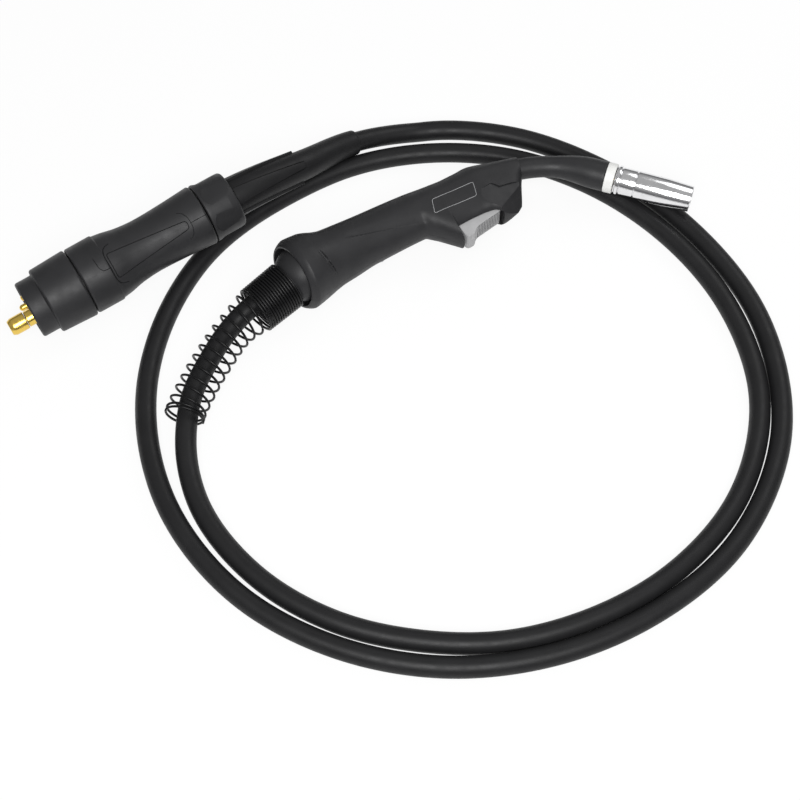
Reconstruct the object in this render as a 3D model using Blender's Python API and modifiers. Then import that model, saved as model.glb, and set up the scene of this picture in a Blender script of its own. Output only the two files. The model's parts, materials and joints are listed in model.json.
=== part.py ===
"""MIG welding torch: a swivel grip, a swan neck, a laid cable and a central plug.

Units are metres. X runs along the grip towards the nozzle and Z is up. The torch lies
on its side on the floor at Z = 0, with the trigger on the -Y side. The origin is the
middle of the box round grip, neck and nozzle, on the floor.
"""
import math

import bmesh
import bpy
from mathutils import Matrix, Vector

# Clearances
FIT_GAP = 0.0003
LOOSE_GAP = 0.0005
SEAT_GAP = 0.0004
PRESS_GAP = 0.0014

# Cable
CABLE_RADIUS = 0.0075
CABLE_START = 0.008
CABLE_STEP = 0.045
BOOT_STEP = 0.012

# Ball joint and strain spring
BALL_RADIUS = 0.0212
BALL_DEPTH = 0.009
BALL_FRONT = 0.012
TAIL_RADIUS = 0.0157
TAIL_TAPER = 0.0006
TAIL_LENGTH = 0.028
TAIL_BORE_RADIUS = 0.0118
TAIL_YAW = math.radians(10.4)
TAIL_PITCH = math.radians(5.7)
SPRING_WIRE = 0.0018
SPRING_CLOSED_PITCH = 0.00235
SPRING_OPEN_PITCH = 0.0083
SPRING_END_PITCH = 0.0027
SPRING_CLOSED_LENGTH = 0.030
SPRING_OPEN_LENGTH = 0.092
SPRING_TAPER_LENGTH = 0.024
SPRING_END_LENGTH = 0.005
SPRING_OPEN_RADIUS = 0.0130
SPRING_CURL_POINTS = 9

# Grip
FLARE_RADIUS = 0.0273
RIM_WIDTH = 0.001
LIP_DEPTH = 0.0035
LIP_FLARE = 0.0023
FLARE_LENGTH = 0.032
GRIP_LENGTH = 0.192
GRIP_TOP = 0.0193
GRIP_LOW = 0.0189
GRIP_HALF_HEIGHT = 0.017
LEAD_CAVITY_RADIUS = 0.015
LEAD_CAVITY_END = 0.062
RIB_THICKNESS = 0.008
CAVITY_TOP = 0.0085
CAVITY_LOW = 0.012
CAVITY_HALF_HEIGHT = 0.0095
HEAD_RAMP = 0.021
HEAD_TOP = 0.0147
HEAD_LOW = 0.0305
HORN_LOW = 0.039
GUARD_LOW = 0.0386
HEAD_HALF_HEIGHT = 0.0156
NOSE_WALL = 0.0012
NOSE_LENGTH = 0.035

# Neck
NECK_RADIUS = 0.008
NECK_CORE_RADIUS = 0.005
NECK_BORE_RADIUS = 0.0025
NECK_INSERT = 0.092
CORE_STICK_OUT = 0.022
BEND_SETBACK = 0.027
BEND_RADIUS = 0.090
BEND_ANGLE = math.radians(50.0)
NECK_STRAIGHT = 0.015
COLLAR_RADIUS = 0.0113
COLLAR_LENGTH = 0.0105
COLLAR_TAPER = 0.012

# Union and lead inside the grip
UNION_STICK_OUT = 0.020
UNION_WALL = 0.003
UNION_SOCKET = 0.012
LEAD_RADIUS = 0.0055
LEAD_REAR = 0.034

# Nozzle end, measured along its own axis from the end of the neck jacket
RING_LENGTH = 0.0071
NOZZLE_REAR = 0.0086
NOZZLE_LENGTH = 0.0568
NOZZLE_RADIUS = 0.0106
NOZZLE_TIP_RADIUS = 0.0096
NOZZLE_WALL = 0.0014
NOZZLE_TAPER = 0.0195
BEAD_LENGTH = 0.0029
SKIRT_LENGTH = 0.0105
GROOVE_WIDTH = 0.0007
GROOVE_DEPTH = 0.0005
HOLDER_LENGTH = 0.0126
DIFFUSER_RADIUS = 0.0060
DIFFUSER_LENGTH = 0.0290
GAS_HOLE_RADIUS = 0.0008
TIP_RADIUS = 0.0040
TIP_LENGTH = 0.0245
TIP_NOSE = 0.0040
TIP_BORE_RADIUS = 0.0007
HOLD_WIRE = 0.0012
HOLD_PITCH = 0.0020
HOLD_TURNS = 4

# Trigger and switch, in the grip's own frame
TRIGGER_WIDTH = 0.0160
TRIGGER_LENGTH = 0.034
TRIGGER_TOP = 0.0240
TRIGGER_FACE = 0.0322
TRIGGER_LOBE = 0.0425
TRIGGER_RIBS = 10
TRIGGER_RIB_DEPTH = 0.0005
PIVOT_SETBACK = 0.0055
PIVOT_DROP = 0.0265
PIN_RADIUS = 0.0015
PIN_LENGTH = 0.022
POCKET_REAR_GAP = 0.0018
POCKET_FRONT_GAP = 0.0012
SWITCH_LENGTH = 0.020
SWITCH_HEIGHT = 0.010
SWITCH_TOP = 0.0105
PLUNGER_RADIUS = 0.0016
PLUNGER_LENGTH = 0.0067
PLUNGER_SETBACK = 0.0135

# Screws
SCREW_RADIUS = 0.0013
SCREW_HEAD_RADIUS = 0.0028
SCREW_HEAD_HEIGHT = 0.0022
SCREW_SEAT = 0.009
SCREW_REACH = 0.0085
RIB_SCREW_OFFSET = 0.0135
NOSE_SCREW_SETBACK = 0.028
NOSE_SCREW_DROP = 0.0200

# Plug, measured along its own axis from the mouth towards the cable
PLUG_PLACE = (-0.1824, 0.0758)
PLUG_TILT = math.radians(5.6)
FLOOR_GAP = 0.0002
NUT_FRONT_RADIUS = 0.0215
NUT_RADIUS = 0.0261
NUT_STEP_RADIUS = 0.0249
NUT_STEP = 0.0133
NUT_LENGTH = 0.0416
NUT_BORE_RADIUS = 0.0183
NUT_THREAD_LENGTH = 0.020
NUT_LIP_LENGTH = 0.0046
SPIGOT_RADIUS = 0.0198
FLANGE_STEP = 0.0012
SPIGOT_FRONT = 0.022
FLANGE_LENGTH = 0.008
HOUSING_FRONT_RADIUS = 0.0257
HOUSING_FRONT_LENGTH = 0.0195
HOUSING_WAIST_RADIUS = 0.0207
HOUSING_REAR_RADIUS = 0.0230
HOUSING_REAR = 0.1423
HOUSING_BORE_RADIUS = 0.013
HOUSING_BORE_FRONT = 0.045
PARTING_ROLL = math.radians(37.0)
PANEL_FRONT = 0.0666
PANEL_REAR = 0.1270
PANEL_FRONT_WIDTH = 0.0198
PANEL_REAR_WIDTH = 0.0060
PANEL_DEPTH = 0.0008
PLUG_SCREWS = ((0.055, 0.0195), (0.135, 0.0180))
FACE_FRONT = 0.0157
PIN_OFFSET = 0.0055
MAIN_PIN_RADIUS = 0.006
BODY_RADIUS = 0.008
BODY_REAR = 0.070
WIRE_BORE_RADIUS = 0.0015
RING_GROOVE_RADIUS = 0.0041
RING_GROOVE_FRONT = -0.005
RING_GROOVE_WIDTH = 0.0015
RING_WIRE_RADIUS = 0.0006
LINER_NUT_RADIUS = 0.0065
LINER_NUT_LENGTH = 0.0127
CONTACT_RADIUS = 0.0024
CONTACT_LENGTH = 0.025
CONTACT_TRAVEL = 0.004
CONTACT_PLACES = ((0.0085, -0.0054, -0.005), (0.0085, 0.0054, -0.001))
CRIMP_LENGTH = 0.048
CRIMP_SOCKET = 0.022
PLUG_COLLAR_RADIUS = 0.0226
PLUG_COLLAR_END_RADIUS = 0.0209
PLUG_COLLAR_LENGTH = 0.025
COLLAR_FLATS = 6
COLLAR_FLAT_DEPTH = 0.0014
COLLAR_FLAT_START = 0.0020
COLLAR_FLAT_ROUND = 0.0077

# Boot
BOOT_RADIUS = 0.0136
BOOT_END_RADIUS = 0.0094
BOOT_LENGTH = 0.114
BOOT_ROOT = 0.0235
BOOT_END_ROUND = 0.0006
TONGUE_COUNT = 4
TONGUE_HEIGHT = 0.0014
TONGUE_LENGTH = 0.065
TONGUE_TURN = math.radians(34.0)

# The cable's way over the floor, from the spring to the boot: offsets in plan from the
# centre of the ball, and the lift above lying flat
CABLE_WAY = (
    (-0.0473, -0.0055, 0.0176), (-0.0675, -0.0111, 0.0133), (-0.0894, -0.0230, 0.0104),
    (-0.1170, -0.0444, 0.0077), (-0.1276, -0.0580, 0.0061), (-0.1377, -0.0749, 0.0031),
    (-0.1490, -0.1100, 0.0),
    (-0.1430, -0.1820, 0.0), (-0.1140, -0.2390, 0.0), (-0.0730, -0.2800, 0.0),
    (-0.0250, -0.3080, 0.0), (0.0300, -0.3235, 0.0), (0.0940, -0.3245, 0.0),
    (0.1646, -0.3044, 0.0), (0.2252, -0.2498, 0.0), (0.2539, -0.1730, 0.0),
    (0.2515, -0.0980, 0.0), (0.2290, -0.0300, 0.0), (0.1910, 0.0205, 0.0),
    (0.1383, 0.0587, 0.0), (0.0864, 0.0763, 0.0), (0.0403, 0.0791, 0.0),
    (-0.0493, 0.0620, 0.0), (-0.0910, 0.0360, 0.0), (-0.1380, -0.0160, 0.0),
    (-0.1690, -0.1070, 0.0), (-0.1580, -0.1930, 0.0), (-0.1200, -0.2580, 0.0),
    (-0.0690, -0.3035, 0.0), (-0.0090, -0.3315, 0.0), (0.0620, -0.3430, 0.0),
    (0.1435, -0.3310, 0.0), (0.2219, -0.2789, 0.0), (0.2669, -0.1927, 0.0),
    (0.2705, -0.1020, 0.0), (0.2455, -0.0225, 0.0), (0.2055, 0.0380, 0.0),
    (0.1459, 0.0782, 0.0), (0.0958, 0.0881, 0.0105), (0.0494, 0.0816, 0.0225),
)

# The open spring's way in the same terms; its lift is above its own lying height
SPRING_WAY = (
    (-0.0650, -0.0140, 0.0068), (-0.0878, -0.0255, 0.0038), (-0.1094, -0.0394, 0.0016),
    (-0.1283, -0.0552, 0.0004), (-0.1350, -0.0640, 0.0004),
)

SIDES = 28
FINE_SIDES = 16
SLEEVE_SIDES = 24
MILLIMETRES = 1000.0
UP = Vector((0.0, 0.0, 1.0))


# Scene, materials and small helpers

def clear_scene():
    for item in list(bpy.data.objects):
        bpy.data.objects.remove(item, do_unlink=True)


def new_collection(name):
    group = bpy.data.collections.new(name)
    bpy.context.scene.collection.children.link(group)
    return group


def finish(name, colour, roughness, metallic=0.0):
    mat = bpy.data.materials.new(name)
    mat.use_nodes = True
    shader = mat.node_tree.nodes["Principled BSDF"]
    shader.inputs["Base Color"].default_value = (*colour, 1.0)
    shader.inputs["Roughness"].default_value = roughness
    shader.inputs["Metallic"].default_value = metallic
    mat.diffuse_color = (*colour, 1.0)
    return mat


def frame(name, parent, matrix):
    """An empty that carries the pieces of one axis or one joint."""
    empty = bpy.data.objects.new(name, None)
    parts.objects.link(empty)
    empty.parent = parent
    empty.matrix_local = matrix
    return empty


def axes(origin, along, upward=UP):
    """A frame at origin with its Z along one direction and its Y as near upward as it can be."""
    z_axis = Vector(along).normalized()
    y_axis = (Vector(upward) - z_axis * z_axis.dot(upward)).normalized()
    x_axis = y_axis.cross(z_axis)
    turn = Matrix((x_axis, y_axis, z_axis)).transposed().to_4x4()
    return Matrix.Translation(origin) @ turn


def add(name, mesh, parent, mat, place=None):
    """One sub-part: a named object on its parent frame."""
    piece = bpy.data.objects.new(name, mesh)
    parts.objects.link(piece)
    piece.parent = parent
    piece.matrix_local = place or Matrix.Identity(4)
    mesh.materials.append(mat)
    return piece


def cutter(name, mesh, parent, place=None):
    """A shape that only cuts its neighbours."""
    tool = bpy.data.objects.new(name, mesh)
    cutters.objects.link(tool)
    tool.parent = parent
    tool.matrix_local = place or Matrix.Identity(4)
    tool.hide_render = True
    tool.display_type = "WIRE"
    return tool


def cut(piece, tool, operation="DIFFERENCE", solver="EXACT"):
    step = piece.modifiers.new(tool.name, "BOOLEAN")
    step.operation = operation
    step.object = tool
    step.solver = solver


def profile_mesh(name, points, closed):
    """A turned piece's half section: radius and height pairs, outer side from top to bottom."""
    count = len(points)
    edges = [(i, i + 1) for i in range(count - 1)]
    if closed:
        edges.append((count - 1, 0))
    mesh = bpy.data.meshes.new(name)
    mesh.from_pydata([(radius, 0.0, height) for radius, height in points], edges, [])
    return mesh


def spin(piece, sides):
    step = piece.modifiers.new("turn", "SCREW")
    step.axis = "Z"
    step.steps = sides
    step.render_steps = sides
    step.use_merge_vertices = True
    step.merge_threshold = 0.00001
    step.use_smooth_shade = True
    return piece


def turned(name, points, parent, mat, place=None, sides=SIDES, closed=True):
    return spin(add(name, profile_mesh(name, points, closed), parent, mat, place), sides)


def turned_cutter(name, points, parent, place=None, sides=SIDES):
    return spin(cutter(name, profile_mesh(name, points, False), parent, place), sides)


def loft_mesh(name, rings, closed):
    """A skin over rings of equal count, joined end to start or capped at both ends."""
    bm = bmesh.new()
    rows = [[bm.verts.new(point) for point in ring] for ring in rings]
    pairs = list(zip(rows, rows[1:]))
    if closed:
        pairs.append((rows[-1], rows[0]))
    else:
        bm.faces.new(rows[0])
        bm.faces.new(rows[-1])
    count = len(rows[0])
    for one, two in pairs:
        for i in range(count):
            j = (i + 1) % count
            bm.faces.new((one[i], one[j], two[j], two[i]))
    bmesh.ops.recalc_face_normals(bm, faces=bm.faces)
    mesh = bpy.data.meshes.new(name)
    bm.to_mesh(mesh)
    bm.free()
    mesh.shade_smooth()
    mesh.set_sharp_from_angle(angle=math.radians(40.0))
    return mesh


def box_mesh(name, low, high):
    bm = bmesh.new()
    size = Vector(high) - Vector(low)
    middle = (Vector(high) + Vector(low)) / 2.0
    bmesh.ops.create_cube(bm, size=1.0, matrix=Matrix.Translation(middle) @ Matrix.Diagonal((*size, 1.0)))
    mesh = bpy.data.meshes.new(name)
    bm.to_mesh(mesh)
    bm.free()
    return mesh


def rods_mesh(name, rods, sides=FINE_SIDES):
    """Round rods in one mesh: centre, axis, radius and length of each."""
    bm = bmesh.new()
    for centre, along, radius, length in rods:
        bmesh.ops.create_cone(bm, cap_ends=True, segments=sides, radius1=radius, radius2=radius,
                              depth=length, matrix=axes(centre, along, (0.1, 1.0, 0.2)))
    mesh = bpy.data.meshes.new(name)
    bm.to_mesh(mesh)
    bm.free()
    return mesh


def extruded_mesh(name, outline, half_depth):
    """A flat outline given thickness along Z, as a closed mesh; drawn in millimetres to fill well."""
    curve = bpy.data.curves.new(name, "CURVE")
    curve.dimensions = "2D"
    curve.fill_mode = "BOTH"
    curve.extrude = half_depth * MILLIMETRES
    spline = curve.splines.new("POLY")
    spline.points.add(len(outline) - 1)
    for point, (x, y) in zip(spline.points, outline):
        point.co = (x * MILLIMETRES, y * MILLIMETRES, 0.0, 1.0)
    spline.use_cyclic_u = True
    mesh = curve_to_mesh(name, curve)
    mesh.transform(Matrix.Scale(1.0 / MILLIMETRES, 4))
    return mesh


def curve_to_mesh(name, curve):
    """The mesh of a curve, with its caps welded on."""
    carrier = bpy.data.objects.new(name, curve)
    parts.objects.link(carrier)
    graph = bpy.context.evaluated_depsgraph_get()
    mesh = bpy.data.meshes.new_from_object(carrier.evaluated_get(graph))
    bpy.data.objects.remove(carrier, do_unlink=True)
    bm = bmesh.new()
    bm.from_mesh(mesh)
    bmesh.ops.remove_doubles(bm, verts=bm.verts, dist=0.000001)
    bmesh.ops.recalc_face_normals(bm, faces=bm.faces)
    bm.to_mesh(mesh)
    bm.free()
    mesh.materials.clear()
    return mesh


def tube_curve(name, points, radius, resolution):
    """A round tube with filled caps through the given points."""
    curve = bpy.data.curves.new(name, "CURVE")
    curve.dimensions = "3D"
    curve.bevel_depth = radius
    curve.bevel_resolution = resolution
    curve.use_fill_caps = True
    spline = curve.splines.new("POLY")
    spline.points.add(len(points) - 1)
    for point, place in zip(spline.points, points):
        point.co = (*place, 1.0)
    return curve


def arc(centre, radius, start, end, count):
    """Points of a turned profile on an arc: radius and height, angles from the equator."""
    angles = [start + (end - start) * i / (count - 1) for i in range(count)]
    return [(radius * math.cos(a), centre + radius * math.sin(a)) for a in angles]


# Places along the grip, from its nose back to its rim

TRIGGER_FRONT = GRIP_LENGTH - NOSE_LENGTH
TRIGGER_REAR = TRIGGER_FRONT - TRIGGER_LENGTH
HEAD_START = TRIGGER_REAR - HEAD_RAMP
PIVOT_X = TRIGGER_FRONT - PIVOT_SETBACK
PIVOT_Y = -PIVOT_DROP
PLUNGER_X = PIVOT_X - PLUNGER_SETBACK
BEND_START = GRIP_LENGTH - BEND_SETBACK
NECK_REAR = GRIP_LENGTH - NECK_INSERT
CORE_REAR = NECK_REAR - CORE_STICK_OUT
UNION_REAR = CORE_REAR - UNION_STICK_OUT
RIB_MIDDLE = LEAD_CAVITY_END + RIB_THICKNESS / 2.0
GRIP_SCREWS = (
    (RIB_MIDDLE, RIB_SCREW_OFFSET), (RIB_MIDDLE, -RIB_SCREW_OFFSET),
    (GRIP_LENGTH - NOSE_SCREW_SETBACK, -NOSE_SCREW_DROP),
)


# Paths

def neck_path(reach):
    """Point and heading of the grip's and neck's centre line at a distance from the rim."""
    if reach <= BEND_START:
        return Vector((reach, 0.0, 0.0)), 0.0
    angle = min((reach - BEND_START) / BEND_RADIUS, BEND_ANGLE)
    point = Vector((BEND_START + BEND_RADIUS * math.sin(angle), -BEND_RADIUS * (1.0 - math.cos(angle)),
                    0.0))
    rest = reach - BEND_START - BEND_RADIUS * angle
    return point + rest * Vector((math.cos(angle), -math.sin(angle), 0.0)), angle


def neck_ring(reach, radius, sides=FINE_SIDES):
    point, angle = neck_path(reach)
    side = Vector((math.sin(angle), math.cos(angle), 0.0))
    turn = [2.0 * math.pi * i / sides for i in range(sides)]
    return [point + radius * (math.cos(a) * side + math.sin(a) * UP) for a in turn]


def steps_between(start, end, step):
    count = max(1, math.ceil((end - start) / step - 0.001))
    return [start + (end - start) * i / count for i in range(count + 1)]


class SmoothPath:
    """A smooth curve through points, read by the distance along it."""

    FINENESS = 16

    def __init__(self, points, floor):
        self.points = self.dense([Vector(p) for p in points])
        for point in self.points:
            point.z = max(point.z, floor)
        self.marks = [0.0]
        for one, two in zip(self.points, self.points[1:]):
            self.marks.append(self.marks[-1] + (two - one).length)
        self.length = self.marks[-1]

    def dense(self, knots):
        spans = [(b - a).length for a, b in zip(knots, knots[1:])]
        slopes = [(b - a) / d for a, b, d in zip(knots, knots[1:], spans)]
        heads = [slopes[0]]
        for i in range(1, len(slopes)):
            before, after = spans[i - 1], spans[i]
            heads.append((slopes[i - 1] * after + slopes[i] * before) / (before + after))
        heads.append(slopes[-1])
        points = []
        for i, span in enumerate(spans):
            for k in range(self.FINENESS):
                u = k / self.FINENESS
                points.append((2 * u**3 - 3 * u**2 + 1) * knots[i] + (3 * u**2 - 2 * u**3) * knots[i + 1]
                              + span * ((u**3 - 2 * u**2 + u) * heads[i] + (u**3 - u**2) * heads[i + 1]))
        return points + [knots[-1]]

    def at(self, reach):
        reach = min(max(reach, 0.0), self.length)
        low, high = 0, len(self.marks) - 1
        while high - low > 1:
            middle = (low + high) // 2
            if self.marks[middle] <= reach:
                low = middle
            else:
                high = middle
        part = (reach - self.marks[low]) / (self.marks[high] - self.marks[low])
        return self.points[low].lerp(self.points[high], part)

    def section(self, reach):
        """Point, side and upward direction at a distance along the path."""
        near = 0.0005
        along = (self.at(reach + near) - self.at(reach - near)).normalized()
        side = along.cross(UP).normalized()
        return self.at(reach), side, side.cross(along)


# Places that follow from the sizes

NECK_END = BEND_START + BEND_RADIUS * BEND_ANGLE + NECK_STRAIGHT
NOZZLE_END = NOZZLE_REAR + NOZZLE_LENGTH
nozzle_tip = neck_path(NECK_END + NOZZLE_END)[0]
REAR_X = -(nozzle_tip.x + NOZZLE_TIP_RADIUS * math.sin(BEND_ANGLE)) / 2.0
AXIS_Y = -(FLARE_RADIUS + nozzle_tip.y - NOZZLE_TIP_RADIUS * math.cos(BEND_ANGLE)) / 2.0
BALL = Vector((REAR_X + BALL_DEPTH, AXIS_Y, FLARE_RADIUS))
TAIL = Vector((-math.cos(TAIL_PITCH) * math.cos(TAIL_YAW), -math.cos(TAIL_PITCH) * math.sin(TAIL_YAW),
               -math.sin(TAIL_PITCH)))
TAIL_START = math.sqrt(BALL_RADIUS**2 - TAIL_RADIUS**2)
SEAT_RADIUS = BALL_RADIUS + SEAT_GAP
LIP_RADIUS = math.sqrt(SEAT_RADIUS**2 - (BALL_DEPTH - LIP_DEPTH)**2)
CABLE_BORE = CABLE_RADIUS + LOOSE_GAP
PLUG_AXIS = Vector((math.cos(PLUG_TILT), 0.0, math.sin(PLUG_TILT)))
PLUG_HEIGHT = FLOOR_GAP + NUT_STEP_RADIUS * math.cos(PLUG_TILT) - NUT_STEP * math.sin(PLUG_TILT)
MOUTH = Vector((BALL.x + PLUG_PLACE[0], BALL.y + PLUG_PLACE[1], PLUG_HEIGHT))
COLLAR_FRONT = HOUSING_REAR + LOOSE_GAP
COLLAR_REAR = COLLAR_FRONT + PLUG_COLLAR_LENGTH
CRIMP_FRONT = BODY_REAR + FIT_GAP
CABLE_END = CRIMP_FRONT + CRIMP_LENGTH - CRIMP_SOCKET + FIT_GAP

clear_scene()
parts = new_collection("mig_welding_torch")
cutters = new_collection("cutters")

black_plastic = finish("black_plastic", (0.028, 0.028, 0.030), 0.55)
black_rubber = finish("black_rubber", (0.020, 0.020, 0.021), 0.60)
grey_plastic = finish("grey_plastic", (0.45, 0.45, 0.46), 0.50)
white_insulator = finish("white_insulator", (0.86, 0.86, 0.84), 0.45)
chrome = finish("chrome", (0.80, 0.80, 0.81), 0.12, 1.0)
brass = finish("brass", (0.83, 0.58, 0.20), 0.25, 1.0)
copper = finish("copper", (0.80, 0.43, 0.28), 0.30, 1.0)
black_wire = finish("black_wire", (0.030, 0.030, 0.032), 0.40, 0.6)
steel = finish("steel", (0.55, 0.55, 0.56), 0.35, 1.0)

grip_frame = frame("grip_frame", None, Matrix.Translation((REAR_X, AXIS_Y, FLARE_RADIUS)))
grip_axis = frame("grip_axis", grip_frame, axes((0.0, 0.0, 0.0), (1.0, 0.0, 0.0)))
nozzle_axis = frame("nozzle_axis", grip_frame,
                    axes(neck_path(NECK_END)[0], (math.cos(BEND_ANGLE), -math.sin(BEND_ANGLE), 0.0)))
trigger_pivot = frame("trigger_pivot", grip_frame, Matrix.Translation((PIVOT_X, PIVOT_Y, 0.0)))
cable_pivot = frame("cable_pivot", None, Matrix.Translation(BALL))
tail_axis = frame("tail_axis", cable_pivot, axes((0.0, 0.0, 0.0), TAIL))
plug_axis = frame("plug_axis", None, axes(MOUTH, PLUG_AXIS))


# Grip shells

def grip_sections():
    """Distance from the rim, reach above and below, half height and squareness below."""
    rim = LIP_RADIUS + LIP_FLARE + RIM_WIDTH
    swell = FLARE_RADIUS - rim
    nose = NECK_RADIUS + NOSE_WALL
    horn = TRIGGER_REAR - POCKET_REAR_GAP - FIT_GAP
    hold = HEAD_START - FLARE_LENGTH
    flare = [(0.0, rim), (0.0015, rim + 0.4 * swell), (0.0045, rim + 0.78 * swell), (0.0095, FLARE_RADIUS),
             (0.0160, FLARE_RADIUS), (0.0210, FLARE_RADIUS - 0.0014), (0.0260, FLARE_RADIUS - 0.0038)]
    rows = [(reach, radius, radius, radius, 2.0) for reach, radius in flare]
    rows += [
        (FLARE_LENGTH, GRIP_TOP + 0.0026, GRIP_LOW + 0.0030, GRIP_HALF_HEIGHT + 0.0046, 2.0),
        (FLARE_LENGTH + hold / 7.0, GRIP_TOP + 0.0020, GRIP_LOW + 0.0021, GRIP_HALF_HEIGHT + 0.0034, 2.0),
        (FLARE_LENGTH + hold * 3.0 / 7.0, GRIP_TOP + 0.0011, GRIP_LOW + 0.0001,
         GRIP_HALF_HEIGHT + 0.0012, 2.0),
        (FLARE_LENGTH + hold * 11.0 / 14.0, GRIP_TOP, GRIP_LOW, GRIP_HALF_HEIGHT, 2.0),
        (HEAD_START, HEAD_TOP + 0.0034, GRIP_LOW + 0.0003, HEAD_HALF_HEIGHT + 0.0012, 2.0),
        (HEAD_START + HEAD_RAMP * 2.0 / 7.0, HEAD_TOP + 0.0027, GRIP_LOW + 0.0051,
         HEAD_HALF_HEIGHT + 0.0009, 2.3),
        (HEAD_START + HEAD_RAMP * 25.0 / 42.0, HEAD_TOP + 0.0018, HORN_LOW - 0.0075,
         HEAD_HALF_HEIGHT + 0.0006, 2.7),
        (horn, HEAD_TOP + 0.0010, HORN_LOW, HEAD_HALF_HEIGHT + 0.0004, 3.0),
        (horn + 0.0014, HEAD_TOP + 0.0009, HEAD_LOW + 0.0003, HEAD_HALF_HEIGHT + 0.0004, 3.2),
        (TRIGGER_REAR + 0.010, HEAD_TOP, HEAD_LOW, HEAD_HALF_HEIGHT, 3.2),
        (TRIGGER_FRONT - 0.012, HEAD_TOP, HEAD_LOW, HEAD_HALF_HEIGHT, 3.3),
        (TRIGGER_FRONT - 0.005, HEAD_TOP + 0.0005, HEAD_LOW + 0.0005, HEAD_HALF_HEIGHT, 3.6),
        (TRIGGER_FRONT - 0.0015, HEAD_TOP + 0.0003, HEAD_LOW + 0.0031, HEAD_HALF_HEIGHT - 0.0001, 3.8),
        (TRIGGER_FRONT + 0.0019, HEAD_TOP - 0.0004, GUARD_LOW - 0.0006, HEAD_HALF_HEIGHT - 0.0003, 3.6),
        (TRIGGER_FRONT + 0.0045, HEAD_TOP - 0.0012, GUARD_LOW, HEAD_HALF_HEIGHT - 0.0007, 3.4),
        (GRIP_LENGTH - 0.022, nose + 0.0017, GUARD_LOW - 0.0006, HEAD_HALF_HEIGHT - 0.0025, 3.0),
        (GRIP_LENGTH - 0.014, nose + 0.0004, GUARD_LOW - 0.0028, HEAD_HALF_HEIGHT - 0.0040, 3.0),
        (GRIP_LENGTH - 0.011, nose + 0.0002, GUARD_LOW - 0.0061, HEAD_HALF_HEIGHT - 0.0045, 2.8),
        (GRIP_LENGTH - 0.008, nose, GUARD_LOW - 0.0108, HEAD_HALF_HEIGHT - 0.0049, 2.6),
        (GRIP_LENGTH - 0.004, nose, nose + 0.0106, nose + 0.0009, 2.3),
        (GRIP_LENGTH, nose, nose + 0.0012, nose + 0.0004, 2.0),
    ]
    return rows


def grip_ring(reach, top, low, half_height, squareness):
    point, angle = neck_path(reach)
    side = Vector((math.sin(angle), math.cos(angle), 0.0))
    ring = []
    for i in range(SIDES):
        turn = 2.0 * math.pi * i / SIDES
        power = 1.0 if math.cos(turn) > 0.0 else 2.0 / squareness
        across = math.copysign(abs(math.cos(turn))**power, math.cos(turn))
        upward = math.copysign(abs(math.sin(turn))**power, math.sin(turn))
        ring.append(point + across * (top if across > 0.0 else low) * side + upward * half_height * UP)
    return ring


def grip_cutters():
    """The hollows of the grip: ball seat, lead room, union saddle, works, pocket, neck and pin."""
    beyond = 0.003
    seat = arc(BALL_DEPTH, SEAT_RADIUS, math.acos(LEAD_CAVITY_RADIUS / SEAT_RADIUS),
               -math.asin((BALL_DEPTH - LIP_DEPTH) / SEAT_RADIUS), 9)
    mouth = LIP_RADIUS + LIP_FLARE
    socket = [(0.0, LEAD_CAVITY_END), (LEAD_CAVITY_RADIUS, LEAD_CAVITY_END), *seat,
              (mouth, 0.0), (mouth, -beyond), (0.0, -beyond)]
    works_front = TRIGGER_FRONT + POCKET_FRONT_GAP
    works_rear = LEAD_CAVITY_END + RIB_THICKNESS
    pocket_half = TRIGGER_WIDTH / 2.0 + LOOSE_GAP
    saddle = ((RIB_MIDDLE, 0.0, 0.0), (1.0, 0.0, 0.0),
              NECK_RADIUS + FIT_GAP, RIB_THICKNESS + 2.0 * beyond)
    pin = ((PIVOT_X, PIVOT_Y, 0.0), UP, PIN_RADIUS + FIT_GAP, PIN_LENGTH + 2.0 * FIT_GAP)
    bore = [neck_ring(reach, NECK_RADIUS + FIT_GAP)
            for reach in steps_between(works_front - beyond, GRIP_LENGTH + beyond, 0.009)]
    return [
        turned_cutter("socket_cutter", socket, grip_axis),
        cutter("saddle_cutter", rods_mesh("saddle_cutter", [saddle], SIDES), grip_frame),
        cutter("works_cutter", box_mesh("works_cutter", (works_rear, -CAVITY_LOW, -CAVITY_HALF_HEIGHT),
                                        (works_front, CAVITY_TOP, CAVITY_HALF_HEIGHT)), grip_frame),
        cutter("pocket_cutter", box_mesh("pocket_cutter",
                                         (TRIGGER_REAR - POCKET_REAR_GAP, -2.0 * HEAD_LOW, -pocket_half),
                                         (works_front, -CAVITY_LOW / 2.0, pocket_half)), grip_frame),
        cutter("neck_cutter", loft_mesh("neck_cutter", bore, False), grip_frame),
        cutter("pin_cutter", rods_mesh("pin_cutter", [pin]), grip_frame),
    ]


def facet_cutters(sign):
    """Cutters of the head's front facet and of the cheek below it, on the upper or the lower side."""
    reach = 2.5 * GUARD_LOW
    planes = (
        ("facet", (TRIGGER_FRONT - 0.006, -HEAD_LOW + 0.0157, HEAD_HALF_HEIGHT), (0.201, -0.182, 0.963)),
        ("cheek", (TRIGGER_FRONT - 0.0007, -HEAD_LOW - 0.0028, HEAD_HALF_HEIGHT - 0.0046),
         (0.375, -0.608, 0.700)),
    )
    tools = []
    for name, (x, y, z), (nx, ny, nz) in planes:
        block = box_mesh(name + "_cutter", (-reach, -reach, 0.0), (reach, reach, reach))
        place = axes((x, y, sign * z), (nx, ny, sign * nz))
        tools.append(cutter(name + "_cutter", block, grip_frame, place))
    return tools


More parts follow.
